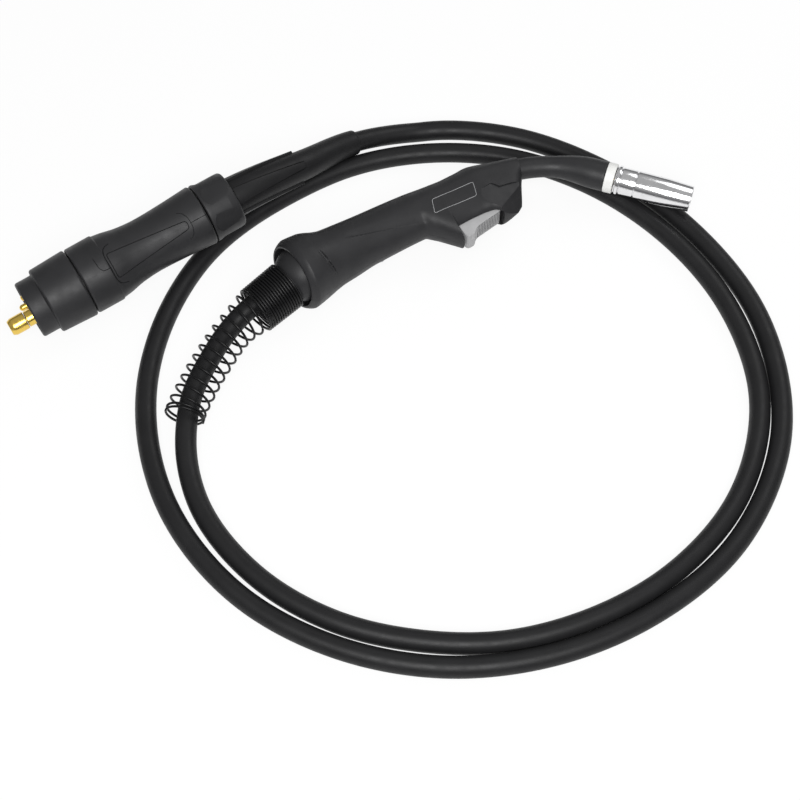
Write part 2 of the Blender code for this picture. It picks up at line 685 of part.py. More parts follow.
def screw_hole_rods(depth):
    """Shank and head holes of the grip's screws, from the lower side."""
    rods = []
    for x, y in GRIP_SCREWS:
        low, high = -SCREW_SEAT - FIT_GAP, SCREW_REACH + FIT_GAP
        rods.append(((x, y, (low + high) / 2.0), UP, SCREW_RADIUS + FIT_GAP, high - low))
        rods.append(((x, y, -SCREW_SEAT - depth / 2.0), UP, SCREW_HEAD_RADIUS + FIT_GAP, depth))
    return rods


def build_grip():
    skin = loft_mesh("grip_skin", [grip_ring(*row) for row in grip_sections()], False)
    hollows = grip_cutters()
    shanks = cutter("shank_cutter", rods_mesh("shank_cutter", screw_hole_rods(FLARE_RADIUS)[0::2]),
                    grip_frame)
    heads = cutter("head_cutter", rods_mesh("head_cutter", screw_hole_rods(FLARE_RADIUS)[1::2]), grip_frame)
    wide = 2.0 * GRIP_LENGTH
    for name, low, high in (("handle_shell_upper", FIT_GAP / 2.0, wide),
                            ("handle_shell_lower", -wide, -FIT_GAP / 2.0)):
        shell = add(name, skin.copy(), grip_frame, black_plastic)
        half = cutter(name + "_side", box_mesh(name + "_side", (-wide, -wide, low), (wide, wide, high)),
                      grip_frame)
        tools = facet_cutters(1.0 if high > 0.0 else -1.0) + hollows + [shanks]
        if high < 0.0:
            tools.append(heads)
        cut(shell, half, "INTERSECT", "MANIFOLD")
        for tool in tools:
            cut(shell, tool, "DIFFERENCE", "MANIFOLD")
    for i, (x, y) in enumerate(GRIP_SCREWS):
        build_screw("handle_screw_%d" % (i + 1), grip_frame, Matrix.Translation((x, y, 0.0)))


def build_screw(name, parent, place):
    """A pan-head screw that points along its local Z, with its seat below the parting plane."""
    seat = -SCREW_SEAT - FIT_GAP
    points = [(0.0, SCREW_REACH), (SCREW_RADIUS, SCREW_REACH - SCREW_RADIUS), (SCREW_RADIUS, seat),
              (SCREW_HEAD_RADIUS, seat), (SCREW_HEAD_RADIUS, seat - 0.6 * SCREW_HEAD_HEIGHT),
              (0.6 * SCREW_HEAD_RADIUS, seat - SCREW_HEAD_HEIGHT), (0.0, seat - SCREW_HEAD_HEIGHT)]
    return turned(name, points, parent, steel, place, sides=8, closed=False)


# Neck

def swept_mesh(name, outer, bore_radius, sides):
    """A hollow piece along the neck: outer distance and radius pairs round one bore."""
    start, end = outer[0][0], outer[-1][0]
    rings = [neck_ring(reach, radius, sides) for reach, radius in outer]
    rings += [neck_ring(reach, bore_radius, sides) for reach in reversed(steps_between(start, end, 0.008))]
    return loft_mesh(name, rings, True)


def build_neck():
    core = [(reach, NECK_CORE_RADIUS) for reach in steps_between(CORE_REAR, NECK_END + RING_LENGTH, 0.008)]
    add("neck_core", swept_mesh("neck_core", core, NECK_BORE_RADIUS, 12), grip_frame, brass)
    end = NECK_END
    swell = COLLAR_RADIUS - NECK_RADIUS
    taper_start = end - COLLAR_LENGTH - COLLAR_TAPER
    jacket = [(reach, NECK_RADIUS) for reach in steps_between(NECK_REAR, taper_start, 0.008)]
    jacket += [(taper_start + 0.4 * COLLAR_TAPER, NECK_RADIUS + 0.2 * swell),
               (taper_start + 0.75 * COLLAR_TAPER, NECK_RADIUS + 0.8 * swell),
               (end - COLLAR_LENGTH, COLLAR_RADIUS), (end, COLLAR_RADIUS)]
    add("neck_insulation", swept_mesh("neck_insulation", jacket, NECK_CORE_RADIUS + FIT_GAP, 20),
        grip_frame, black_plastic)
    bore = NECK_CORE_RADIUS + FIT_GAP
    chamfer = FIT_GAP
    ring = [(COLLAR_RADIUS - chamfer, RING_LENGTH), (COLLAR_RADIUS, RING_LENGTH - chamfer),
            (COLLAR_RADIUS, 3 * chamfer),
            (COLLAR_RADIUS - chamfer, FIT_GAP), (bore, FIT_GAP), (bore, RING_LENGTH)]
    turned("insulator_ring", ring, nozzle_axis, white_insulator, sides=SLEEVE_SIDES)
    core_room = NECK_CORE_RADIUS + FIT_GAP
    lead_room = LEAD_RADIUS + FIT_GAP
    union_front = NECK_REAR - FIT_GAP
    union = [(0.0, CORE_REAR - FIT_GAP), (core_room, CORE_REAR - FIT_GAP), (core_room, union_front),
             (NECK_RADIUS, union_front),
             (NECK_RADIUS, UNION_REAR), (lead_room, UNION_REAR), (lead_room, UNION_REAR + UNION_SOCKET),
             (0.0, UNION_REAR + UNION_SOCKET)]
    turned("neck_union", union, grip_axis, brass, sides=16, closed=False)
    lead_front = UNION_REAR + UNION_SOCKET - FIT_GAP
    lead = [(0.0, lead_front), (LEAD_RADIUS, lead_front), (LEAD_RADIUS, LEAD_REAR), (0.0, LEAD_REAR)]
    turned("handle_lead", lead, grip_axis, black_rubber, sides=16, closed=False)


# Nozzle end

def build_nozzle_end():
    rear = NOZZLE_REAR
    front = NOZZLE_END
    skirt_start = rear + BEAD_LENGTH + GROOVE_WIDTH
    skirt_end = skirt_start + SKIRT_LENGTH
    skirt = NOZZLE_RADIUS - GROOVE_DEPTH / 3.0
    bead = NOZZLE_RADIUS + GROOVE_DEPTH
    deep = NOZZLE_RADIUS - GROOVE_DEPTH
    bore = NOZZLE_RADIUS - NOZZLE_WALL
    nozzle = [(NOZZLE_TIP_RADIUS, front), (NOZZLE_RADIUS, front - NOZZLE_TAPER),
              (NOZZLE_RADIUS, skirt_end + GROOVE_WIDTH),
              (deep, skirt_end + 0.7 * GROOVE_WIDTH), (deep, skirt_end + 0.3 * GROOVE_WIDTH),
              (skirt, skirt_end),
              (skirt, skirt_start), (deep, skirt_start - 0.3 * GROOVE_WIDTH), (deep, rear + BEAD_LENGTH),
              (bead, rear + 0.75 * BEAD_LENGTH), (bead, rear + 0.3 * BEAD_LENGTH), (deep, rear),
              (bore, rear), (bore, front - NOZZLE_TAPER), (NOZZLE_TIP_RADIUS - NOZZLE_WALL, front)]
    turned("nozzle", nozzle, nozzle_axis, chrome, sides=SLEEVE_SIDES)
    base = RING_LENGTH + FIT_GAP
    wire_radius = HOLD_WIRE / 2.0
    hold_radius = bore - FIT_GAP - wire_radius
    holder = hold_radius * math.cos(math.pi / SPRING_CURL_POINTS) - wire_radius - FIT_GAP
    step = base + HOLDER_LENGTH
    diffuser_front = base + DIFFUSER_LENGTH
    diffuser = [(DIFFUSER_RADIUS, diffuser_front), (DIFFUSER_RADIUS, step), (holder, step), (holder, base),
                (NECK_BORE_RADIUS, base), (NECK_BORE_RADIUS, diffuser_front)]
    body = turned("gas_diffuser", diffuser, nozzle_axis, brass, sides=16)
    middle = (step + diffuser_front) / 2.0
    turns = [math.pi * i / 3.0 for i in range(3)]
    holes = [((0.0, 0.0, middle + (i - 1) * 3.0 * GAS_HOLE_RADIUS), (math.cos(a), math.sin(a), 0.0),
              GAS_HOLE_RADIUS, 4.0 * holder)
             for i, a in enumerate(turns)]
    cut(body, cutter("gas_hole_cutter", rods_mesh("gas_hole_cutter", holes, 8), nozzle_axis))
    tip_rear = diffuser_front + FIT_GAP
    tip_front = tip_rear + TIP_LENGTH
    tip = [(0.55 * TIP_RADIUS, tip_front), (TIP_RADIUS, tip_front - TIP_NOSE), (TIP_RADIUS, tip_rear),
           (TIP_BORE_RADIUS, tip_rear), (TIP_BORE_RADIUS, tip_front)]
    turned("contact_tip", tip, nozzle_axis, copper, sides=16)
    points = []
    for i in range(HOLD_TURNS * SPRING_CURL_POINTS + 1):
        turn = 2.0 * math.pi * i / SPRING_CURL_POINTS
        height = base + wire_radius + HOLD_PITCH * i / SPRING_CURL_POINTS
        points.append((hold_radius * math.cos(turn), hold_radius * math.sin(turn), height))
    add("nozzle_spring", tube_curve("nozzle_spring", points, wire_radius, 1), nozzle_axis, steel)
    print("nozzle spring gap %.5f" % (HOLD_PITCH - HOLD_WIRE))


# Trigger and switch

def trigger_outline():
    """The trigger from the side: a ribbed face between its front end and a round rear lobe."""
    lobe_x = TRIGGER_REAR + 0.003
    face_rear = TRIGGER_REAR + 0.011
    outline = [(TRIGGER_REAR, -TRIGGER_TOP), (TRIGGER_REAR + 0.0002, -TRIGGER_LOBE + 0.0030),
               (TRIGGER_REAR + 0.0012, -TRIGGER_LOBE + 0.0007), (lobe_x, -TRIGGER_LOBE),
               (lobe_x + 0.0025, -TRIGGER_LOBE + 0.0003), (lobe_x + 0.0043, -TRIGGER_LOBE + 0.0018)]
    start = Vector((face_rear, -TRIGGER_FACE - 0.0038))
    end = Vector((TRIGGER_FRONT, -TRIGGER_FACE))
    step = (end - start) / TRIGGER_RIBS
    inward = Vector((-step.y, step.x)).normalized() * TRIGGER_RIB_DEPTH
    for i in range(TRIGGER_RIBS):
        foot = start + i * step
        outline += [tuple(foot), tuple(foot + 0.55 * step), tuple(foot + 0.70 * step + inward),
                    tuple(foot + 0.88 * step + inward)]
    shoulder = -TRIGGER_TOP + 0.003
    outline += [tuple(end), (TRIGGER_FRONT, shoulder), (PIVOT_X - 0.0035, shoulder),
                (PIVOT_X - 0.0045, -TRIGGER_TOP)]
    return [(x - PIVOT_X, y - PIVOT_Y) for x, y in outline]


def build_trigger():
    trigger = add("trigger", extruded_mesh("trigger", trigger_outline(), TRIGGER_WIDTH / 2.0),
                  trigger_pivot, grey_plastic)
    hole = ((0.0, 0.0, 0.0), UP, PIN_RADIUS + FIT_GAP, 2.0 * TRIGGER_WIDTH)
    cut(trigger, cutter("trigger_hole_cutter", rods_mesh("trigger_hole_cutter", [hole]), trigger_pivot))
    half = PIN_LENGTH / 2.0
    pin = [(0.0, half), (PIN_RADIUS, half), (PIN_RADIUS, -half), (0.0, -half)]
    turned("trigger_pin", pin, trigger_pivot, steel, sides=16, closed=False)
    plunger_low = -TRIGGER_TOP + FIT_GAP
    switch_low = -SWITCH_TOP - SWITCH_HEIGHT
    half_width = TRIGGER_WIDTH / 2.0 + LOOSE_GAP - FIT_GAP
    switch_rear = PLUNGER_X - SWITCH_LENGTH / 2.0
    switch = add("switch_body", box_mesh("switch_body", (switch_rear, switch_low, -half_width),
                                         (switch_rear + SWITCH_LENGTH, -SWITCH_TOP,
                                          half_width)), grip_frame, black_plastic)
    hole_top = plunger_low + PLUNGER_LENGTH + (PIVOT_X - PLUNGER_X) * 0.15
    bore = ((PLUNGER_X, (hole_top + switch_low - 0.002) / 2.0, 0.0), (0.0, 1.0, 0.0),
            PLUNGER_RADIUS + FIT_GAP,
            hole_top - switch_low + 0.002)
    cut(switch, cutter("plunger_cutter", rods_mesh("plunger_cutter", [bore]), grip_frame))
    stem = [(0.0, PLUNGER_LENGTH), (PLUNGER_RADIUS, PLUNGER_LENGTH), (PLUNGER_RADIUS, 0.4 * PLUNGER_RADIUS),
            (0.6 * PLUNGER_RADIUS, 0.0), (0.0, 0.0)]
    turned("switch_plunger", stem, grip_frame, grey_plastic,
           axes((PLUNGER_X, plunger_low, 0.0), (0.0, 1.0, 0.0)), sides=12, closed=False)


# Ball joint, strain spring and cable

def cable_route():
    """The cable's centre line from inside the ball to the crimp in the plug."""
    points = [BALL - CABLE_START * TAIL, BALL + TAIL_START * TAIL]
    lying = CABLE_RADIUS + FLOOR_GAP
    points += [(BALL.x + x, BALL.y + y, lying + lift) for x, y, lift in CABLE_WAY]
    points += [MOUTH + (COLLAR_REAR + 0.002) * PLUG_AXIS, MOUTH + (COLLAR_REAR - 0.018) * PLUG_AXIS,
               MOUTH + CABLE_END * PLUG_AXIS]
    return SmoothPath(points, lying)


def build_ball():
    tail_end = TAIL_START + TAIL_LENGTH
    sphere = arc(0.0, BALL_RADIUS, math.acos(TAIL_RADIUS / BALL_RADIUS),
                 -math.asin(BALL_FRONT / BALL_RADIUS), 8)
    points = [(TAIL_RADIUS - TAIL_TAPER, tail_end), *sphere, (CABLE_BORE, -BALL_FRONT),
              (CABLE_BORE, TAIL_START - 0.004),
              (TAIL_BORE_RADIUS, TAIL_START + 0.004), (TAIL_BORE_RADIUS, tail_end)]
    turned("ball_joint", points, tail_axis, black_plastic, sides=SLEEVE_SIDES)


def spring_pitch(reach):
    if reach < SPRING_CLOSED_LENGTH:
        return SPRING_CLOSED_PITCH
    if reach < SPRING_CLOSED_LENGTH + SPRING_OPEN_LENGTH:
        return SPRING_OPEN_PITCH
    return SPRING_END_PITCH


def spring_radius(reach):
    """The coil's radius: tight round the tail, then drawn in to the open coil."""
    start = (TAIL_RADIUS + FIT_GAP + SPRING_WIRE / 2.0) / math.cos(math.pi / SPRING_CURL_POINTS)
    if reach < SPRING_CLOSED_LENGTH:
        return start - TAIL_TAPER * reach / TAIL_LENGTH
    part = min(1.0, (reach - SPRING_CLOSED_LENGTH) / SPRING_TAPER_LENGTH)
    wide = start - TAIL_TAPER
    return wide + (SPRING_OPEN_RADIUS - wide) * (2.0 - part) * part


def least_gap(points, wire, skip):
    """The least clear space between one part of a wire and another."""
    best = 1.0
    for i, one in enumerate(points):
        for two in points[i + skip:]:
            best = min(best, (two - one).length)
    return best - wire


def spring_route():
    lying = SPRING_OPEN_RADIUS + SPRING_WIRE / 2.0
    straight = TAIL_START + SPRING_CLOSED_LENGTH
    points = [BALL, BALL + straight * TAIL, BALL + (straight + 2.0 * SPRING_WIRE) * TAIL]
    points += [(BALL.x + x, BALL.y + y, lying + lift) for x, y, lift in SPRING_WAY]
    return SmoothPath(points, lying)


def build_spring():
    route = spring_route()
    start = TAIL_START + SPRING_WIRE / 2.0 + FIT_GAP
    total = SPRING_CLOSED_LENGTH + SPRING_OPEN_LENGTH + SPRING_END_LENGTH
    points = []
    reach = 0.0
    turn = 0.0
    while reach < total:
        point, side, upward = route.section(start + reach)
        points.append(point + spring_radius(reach) * (math.cos(turn) * side + math.sin(turn) * upward))
        turn += 2.0 * math.pi / SPRING_CURL_POINTS
        reach += spring_pitch(reach) / SPRING_CURL_POINTS
    local = [point - BALL for point in points]
    add("strain_spring", tube_curve("strain_spring", local, SPRING_WIRE / 2.0, 1), cable_pivot, black_wire)
    print("strain spring gap %.5f, turns %.1f" % (least_gap(points, SPRING_WIRE,
                                                            SPRING_CURL_POINTS - 2), turn / (2.0 * math.pi)))


def build_cable(route):
    spring_end = CABLE_START + TAIL_START + SPRING_CLOSED_LENGTH + SPRING_OPEN_LENGTH + SPRING_END_LENGTH
    boot_end = route.length - (COLLAR_REAR - CABLE_END) - BOOT_LENGTH
    marks = steps_between(0.0, spring_end, 0.35 * CABLE_STEP)
    marks += steps_between(spring_end, boot_end, CABLE_STEP)[1:]
    marks += steps_between(boot_end, route.length, BOOT_STEP)[1:]
    points = [route.at(mark) - BALL for mark in marks]
    add("power_cable", tube_curve("power_cable", points, CABLE_RADIUS, 3), cable_pivot, black_rubber)
    print("cable length %.4f in %d points" % (route.length, len(points)))


# Boot

def boot_radius(part, turn):
    """The boot's radius at a share of its free length and an angle, with the raised tongues."""
    radius = BOOT_RADIUS + (BOOT_END_RADIUS - BOOT_RADIUS) * max(0.0, part)
    tongue_part = part * BOOT_LENGTH / TONGUE_LENGTH
    if part < 0.0 or tongue_part > 1.0:
        return radius
    spacing = 2.0 * math.pi / TONGUE_COUNT
    away = abs((turn - TONGUE_TURN + spacing / 2.0) % spacing - spacing / 2.0)
    half_width = 0.30 * spacing * (1.0 - 0.6 * tongue_part)
    return radius + TONGUE_HEIGHT * min(1.0, max(0.0, (half_width - away) / (0.06 * spacing)))


def boot_ring(route, mark, radius_at, sides):
    point, side, upward = route.section(mark)
    turns = [2.0 * math.pi * i / sides for i in range(sides)]
    return [point - BALL + radius_at(a) * (math.cos(a) * side + math.sin(a) * upward) for a in turns]


def build_boot(route):
    """A tapered sleeve along the cable with its root inside the plug's collar."""
    exit_mark = route.length - (COLLAR_REAR - CABLE_END)
    rings = []
    rooted = exit_mark + BOOT_ROOT
    for mark in (rooted, exit_mark + FIT_GAP):
        rings.append(boot_ring(route, mark, lambda a: BOOT_RADIUS, SLEEVE_SIDES))
    tip = TONGUE_LENGTH / BOOT_LENGTH
    marks = [0.01, 0.2 * tip, 0.4 * tip, 0.6 * tip, 0.8 * tip, tip, tip + 0.015, 0.68, 0.78, 0.87, 0.96]
    for part in marks:
        rings.append(boot_ring(route, exit_mark - part * BOOT_LENGTH,
                               lambda a, p=part: boot_radius(p, a), SLEEVE_SIDES))
    for part, inset in ((0.992, 0.0), (1.0, BOOT_END_ROUND)):
        rings.append(boot_ring(route, exit_mark - part * BOOT_LENGTH,
                               lambda a, e=inset: BOOT_END_RADIUS - e, SLEEVE_SIDES))
    bore = steps_between(exit_mark - BOOT_LENGTH, rooted, BOOT_STEP)
    rings += [boot_ring(route, mark, lambda a: CABLE_BORE, SLEEVE_SIDES) for mark in bore]
    add("cable_boot", loft_mesh("cable_boot", rings, True), cable_pivot, black_rubber)


# Plug

def housing_profile(inset):
    """The housing's outer side from the collar to its front edge, drawn in by inset."""
    front = NUT_LENGTH + LOOSE_GAP
    step = front + HOUSING_FRONT_LENGTH
    shape = [(HOUSING_REAR_RADIUS - 0.0008, HOUSING_REAR), (HOUSING_REAR_RADIUS, HOUSING_REAR - 0.001),
             (HOUSING_REAR_RADIUS - 0.0005, HOUSING_REAR - 0.008),
             (HOUSING_WAIST_RADIUS + 0.0009, HOUSING_REAR - 0.021),
             (HOUSING_WAIST_RADIUS, HOUSING_REAR - 0.039), (HOUSING_WAIST_RADIUS, step + 0.030),
             (HOUSING_WAIST_RADIUS + 0.0012, step + 0.018), (HOUSING_FRONT_RADIUS - 0.0017, step + 0.009),
             (HOUSING_FRONT_RADIUS - 0.0008, step + 0.002), (HOUSING_FRONT_RADIUS, step + 0.0012),
             (HOUSING_FRONT_RADIUS + 0.0001, step),
             (HOUSING_FRONT_RADIUS, front + 0.001), (HOUSING_FRONT_RADIUS - 0.0008, front)]
    return [(radius - inset, height) for radius, height in shape]


def panel_cutter():
    """A shallow rounded panel on the side of the housing that faces up and to the trigger."""
    half_front, half_rear = PANEL_FRONT_WIDTH / 2.0, PANEL_REAR_WIDTH / 2.0
    corner = 0.003
    outline = [(-half_front + corner, PANEL_FRONT), (half_front - corner, PANEL_FRONT),
               (half_front, PANEL_FRONT + corner),
               (half_rear, PANEL_REAR - corner), (half_rear - corner, PANEL_REAR),
               (-half_rear + corner, PANEL_REAR),
               (-half_rear, PANEL_REAR - corner), (-half_front, PANEL_FRONT + corner)]
    out = 1.5 * HOUSING_FRONT_RADIUS
    place = (Matrix.Rotation(PARTING_ROLL, 4, "Z") @ Matrix.Translation((0.0, out, 0.0))
             @ Matrix.Rotation(math.pi / 2.0, 4, "X"))
    plate = extruded_mesh("panel_cutter", outline, out - HOUSING_WAIST_RADIUS / 2.0)
    tool = cutter("panel_cutter", plate, plug_axis, place)
    shape = housing_profile(PANEL_DEPTH)
    core = turned_cutter("panel_core", [(0.0, shape[0][1]), *shape, (0.0, shape[-1][1])], plug_axis)
    cut(tool, core)
    return tool


def build_housing():
    front = NUT_LENGTH + LOOSE_GAP
    flange_end = SPIGOT_FRONT + FLANGE_LENGTH
    points = [(0.0, HOUSING_BORE_FRONT), (HOUSING_BORE_RADIUS, HOUSING_BORE_FRONT),
              (HOUSING_BORE_RADIUS, HOUSING_REAR),
              *housing_profile(0.0), (SPIGOT_RADIUS, front), (SPIGOT_RADIUS, flange_end),
              (SPIGOT_RADIUS + FLANGE_STEP, flange_end),
              (SPIGOT_RADIUS + FLANGE_STEP, SPIGOT_FRONT), (0.0, SPIGOT_FRONT)]
    along = (0.0, 0.0, 1.0)
    beyond = 0.003
    body_hole = ((-PIN_OFFSET, 0.0, (SPIGOT_FRONT - beyond + CRIMP_FRONT) / 2.0), along,
                 BODY_RADIUS + FIT_GAP,
                 CRIMP_FRONT - SPIGOT_FRONT + beyond)
    pin_depth = max(tip for _, _, tip in CONTACT_PLACES) + CONTACT_LENGTH + CONTACT_TRAVEL + LOOSE_GAP
    pin_holes = [((x, y, (SPIGOT_FRONT - beyond + pin_depth) / 2.0), along, CONTACT_RADIUS + FIT_GAP,
                  pin_depth - SPIGOT_FRONT + beyond)
                 for x, y, _ in CONTACT_PLACES]
    holes = cutter("housing_holes", rods_mesh("housing_holes", [body_hole, *pin_holes]), plug_axis)
    panel = panel_cutter()
    roll = Matrix.Rotation(PARTING_ROLL, 4, "Z")
    shanks = []
    heads = []
    for height, offset in PLUG_SCREWS:
        centre = roll @ Vector((0.0, -offset, height))
        across = roll @ Vector((1.0, 0.0, 0.0))
        low, high = -SCREW_SEAT - FIT_GAP, SCREW_REACH + FIT_GAP
        shanks.append((centre + across * (low + high) / 2.0, across, SCREW_RADIUS + FIT_GAP, high - low))
        heads.append((centre - across * (SCREW_SEAT + HOUSING_REAR_RADIUS / 2.0), across,
                      SCREW_HEAD_RADIUS + FIT_GAP, HOUSING_REAR_RADIUS))
    shank_tool = cutter("plug_shank_cutter", rods_mesh("plug_shank_cutter", shanks), plug_axis)
    head_tool = cutter("plug_head_cutter", rods_mesh("plug_head_cutter", heads), plug_axis)
    wide = 2.0 * HOUSING_REAR
    for name, low, high in (("plug_housing_right", -wide, -FIT_GAP / 2.0),
                            ("plug_housing_left", FIT_GAP / 2.0, wide)):
        half = turned(name, points, plug_axis, black_plastic, closed=False)
        side = cutter(name + "_side", box_mesh(name + "_side", (low, -wide, -wide), (high, wide, wide)),
                      plug_axis, roll)
        cut(half, side, "INTERSECT")
        cut(half, holes)
        cut(half, panel)
        cut(half, shank_tool)
        if high < 0.0:
            cut(half, head_tool)
    for i, (height, offset) in enumerate(PLUG_SCREWS):
        place = roll @ Matrix.Translation((0.0, -offset, height)) @ Matrix.Rotation(math.pi / 2.0, 4, "Y")
        build_screw("plug_screw_%d" % (i + 1), plug_axis, place)


def build_nut():
    lip = SPIGOT_RADIUS + SEAT_GAP
    room = SPIGOT_RADIUS + FLANGE_STEP + LOOSE_GAP
    points = [(NUT_RADIUS - 0.0009, NUT_LENGTH), (NUT_RADIUS, NUT_LENGTH - 0.001),
              (NUT_STEP_RADIUS, NUT_STEP + 0.001),
              (NUT_STEP_RADIUS - 0.0009, NUT_STEP), (NUT_FRONT_RADIUS, NUT_STEP - 0.0003),
              (NUT_FRONT_RADIUS, 0.0012),
              (NUT_FRONT_RADIUS - 0.0009, 0.0), (NUT_BORE_RADIUS + 0.0003, 0.0), (NUT_BORE_RADIUS, 0.0005),
              (NUT_BORE_RADIUS, NUT_THREAD_LENGTH), (room, NUT_THREAD_LENGTH),
              (room, NUT_LENGTH - NUT_LIP_LENGTH),
              (lip, NUT_LENGTH - NUT_LIP_LENGTH), (lip, NUT_LENGTH)]
    turned("plug_nut", points, plug_axis, black_plastic, sides=32)


def build_contacts():
    rear = SPIGOT_FRONT - FIT_GAP
    face_radius = NUT_BORE_RADIUS - SEAT_GAP
    face = turned("plug_face", [(0.0, rear), (face_radius, rear), (face_radius, FACE_FRONT),
                                (0.0, FACE_FRONT)], plug_axis,
                  black_plastic, closed=False)
    along = (0.0, 0.0, 1.0)
    middle = (FACE_FRONT + rear) / 2.0
    through = 2.0 * (rear - FACE_FRONT)
    holes = [((-PIN_OFFSET, 0.0, middle), along, MAIN_PIN_RADIUS + FIT_GAP, through)]
    holes += [((x, y, middle), along, CONTACT_RADIUS + FIT_GAP, through) for x, y, _ in CONTACT_PLACES]
    cut(face, cutter("face_cutter", rods_mesh("face_cutter", holes), plug_axis))
    pin_axis = Matrix.Translation((-PIN_OFFSET, 0.0, 0.0))
    groove_rear = RING_GROOVE_FRONT + RING_GROOVE_WIDTH
    body = [(BODY_RADIUS, BODY_REAR), (BODY_RADIUS, SPIGOT_FRONT), (MAIN_PIN_RADIUS, SPIGOT_FRONT),
            (MAIN_PIN_RADIUS, groove_rear),
            (RING_GROOVE_RADIUS, groove_rear), (RING_GROOVE_RADIUS, RING_GROOVE_FRONT),
            (WIRE_BORE_RADIUS, RING_GROOVE_FRONT),
            (WIRE_BORE_RADIUS, BODY_REAR)]
    turned("plug_body", body, plug_axis, brass, pin_axis, sides=20)
    cap_rear = RING_GROOVE_FRONT - FIT_GAP
    cap_front = cap_rear - LINER_NUT_LENGTH
    cap = [(LINER_NUT_RADIUS, cap_rear), (LINER_NUT_RADIUS, cap_front + 0.0028),
           (LINER_NUT_RADIUS - 0.0010, cap_front + 0.0005),
           (LINER_NUT_RADIUS - 0.0014, cap_front), (WIRE_BORE_RADIUS, cap_front),
           (WIRE_BORE_RADIUS, cap_rear)]
    turned("liner_nut", cap, plug_axis, brass, pin_axis, sides=20)
    ring_radius = RING_GROOVE_RADIUS + FIT_GAP + RING_WIRE_RADIUS
    ring_height = (RING_GROOVE_FRONT + groove_rear) / 2.0
    ring = [(ring_radius + RING_WIRE_RADIUS * math.cos(a), ring_height + RING_WIRE_RADIUS * math.sin(a))
            for a in [math.pi / 2.0 - math.pi * i / 3.0 for i in range(6)]]
    turned("gas_o_ring", ring, plug_axis, black_rubber, pin_axis, sides=16)
    for i, (x, y, tip) in enumerate(CONTACT_PLACES):
        nose = arc(tip + CONTACT_RADIUS, CONTACT_RADIUS, 0.0, -math.pi / 2.0, 4)
        pin = [(0.0, tip + CONTACT_LENGTH), (CONTACT_RADIUS, tip + CONTACT_LENGTH), *nose[:-1], (0.0, tip)]
        turned("contact_pin_%d" % (i + 1), pin, plug_axis, brass, Matrix.Translation((x, y, 0.0)),
               sides=16, closed=False)
    crimp_rear = CRIMP_FRONT + CRIMP_LENGTH
    crimp_radius = HOUSING_BORE_RADIUS - FIT_GAP
    socket = crimp_rear - CRIMP_SOCKET
    crimp = [(0.0, socket), (CABLE_BORE, socket), (CABLE_BORE, crimp_rear), (crimp_radius, crimp_rear),
             (crimp_radius, CRIMP_FRONT),
             (0.0, CRIMP_FRONT)]
    turned("crimp_sleeve", crimp, plug_axis, copper, sides=24, closed=False)


def build_collar():
    bore = BOOT_RADIUS + PRESS_GAP
    points = [(PLUG_COLLAR_END_RADIUS - 0.001, COLLAR_REAR), (PLUG_COLLAR_END_RADIUS, COLLAR_REAR - 0.0012),
              (PLUG_COLLAR_RADIUS - 0.0006, COLLAR_REAR - 0.0060),
              (PLUG_COLLAR_RADIUS, COLLAR_FRONT + 0.003),
              (PLUG_COLLAR_RADIUS, COLLAR_FRONT + 0.0007), (PLUG_COLLAR_RADIUS - 0.0007, COLLAR_FRONT),
              (bore, COLLAR_FRONT),
              (bore, COLLAR_REAR)]
    collar = turned("plug_collar", points, plug_axis, black_plastic)
    reach, half_width, half_depth = PLUG_COLLAR_LENGTH, 0.4 * PLUG_COLLAR_RADIUS, COLLAR_FLAT_DEPTH
    bend = COLLAR_FRONT + COLLAR_FLAT_START + COLLAR_FLAT_ROUND
    arch = [math.pi + math.pi * i / 8.0 for i in range(9)]
    outline = [(half_width * math.cos(a), bend + COLLAR_FLAT_ROUND * math.sin(a)) for a in arch]
    outline += [(half_width, bend + reach), (-half_width, bend + reach)]
    for i in range(COLLAR_FLATS):
        name = "flat_cutter_%d" % (i + 1)
        turn = Matrix.Rotation(2.0 * math.pi * (i + 0.5) / COLLAR_FLATS + PARTING_ROLL, 4, "Z")
        out = Matrix.Translation((0.0, PLUG_COLLAR_RADIUS - COLLAR_FLAT_DEPTH + half_depth, 0.0))
        place = turn @ out @ Matrix.Rotation(math.pi / 2.0, 4, "X")
        cut(collar, cutter(name, extruded_mesh(name, outline, half_depth), plug_axis, place))


build_grip()
build_neck()
build_nozzle_end()
build_trigger()
way = cable_route()
build_ball()
build_spring()
build_cable(way)
build_boot(way)
build_housing()
build_nut()
build_contacts()
build_collar()
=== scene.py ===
"""Looks of the MIG welding torch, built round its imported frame.

Units are metres. X runs along the grip towards the nozzle, Z is up, and the torch lies on its side.
"""
import bisect
import json
import math

import bmesh
import bpy
from mathutils import Matrix, Vector


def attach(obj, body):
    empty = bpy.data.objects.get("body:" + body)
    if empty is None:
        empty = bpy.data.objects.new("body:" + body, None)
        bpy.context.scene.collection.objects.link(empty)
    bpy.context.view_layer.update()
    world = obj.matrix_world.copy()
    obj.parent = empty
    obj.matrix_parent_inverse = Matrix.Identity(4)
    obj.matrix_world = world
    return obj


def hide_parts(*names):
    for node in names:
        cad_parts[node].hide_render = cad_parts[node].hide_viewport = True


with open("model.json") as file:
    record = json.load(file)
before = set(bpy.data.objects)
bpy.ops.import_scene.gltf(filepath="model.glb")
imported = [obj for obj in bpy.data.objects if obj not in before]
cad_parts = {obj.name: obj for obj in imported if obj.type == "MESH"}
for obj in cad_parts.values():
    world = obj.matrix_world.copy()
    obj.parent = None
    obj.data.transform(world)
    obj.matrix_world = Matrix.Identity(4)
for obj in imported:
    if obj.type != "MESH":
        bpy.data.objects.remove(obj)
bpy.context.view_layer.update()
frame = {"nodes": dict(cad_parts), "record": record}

MM = 0.001
UP = Vector((0.0, 0.0, 1.0))
AHEAD = Vector((1.0, 0.0, 0.0))
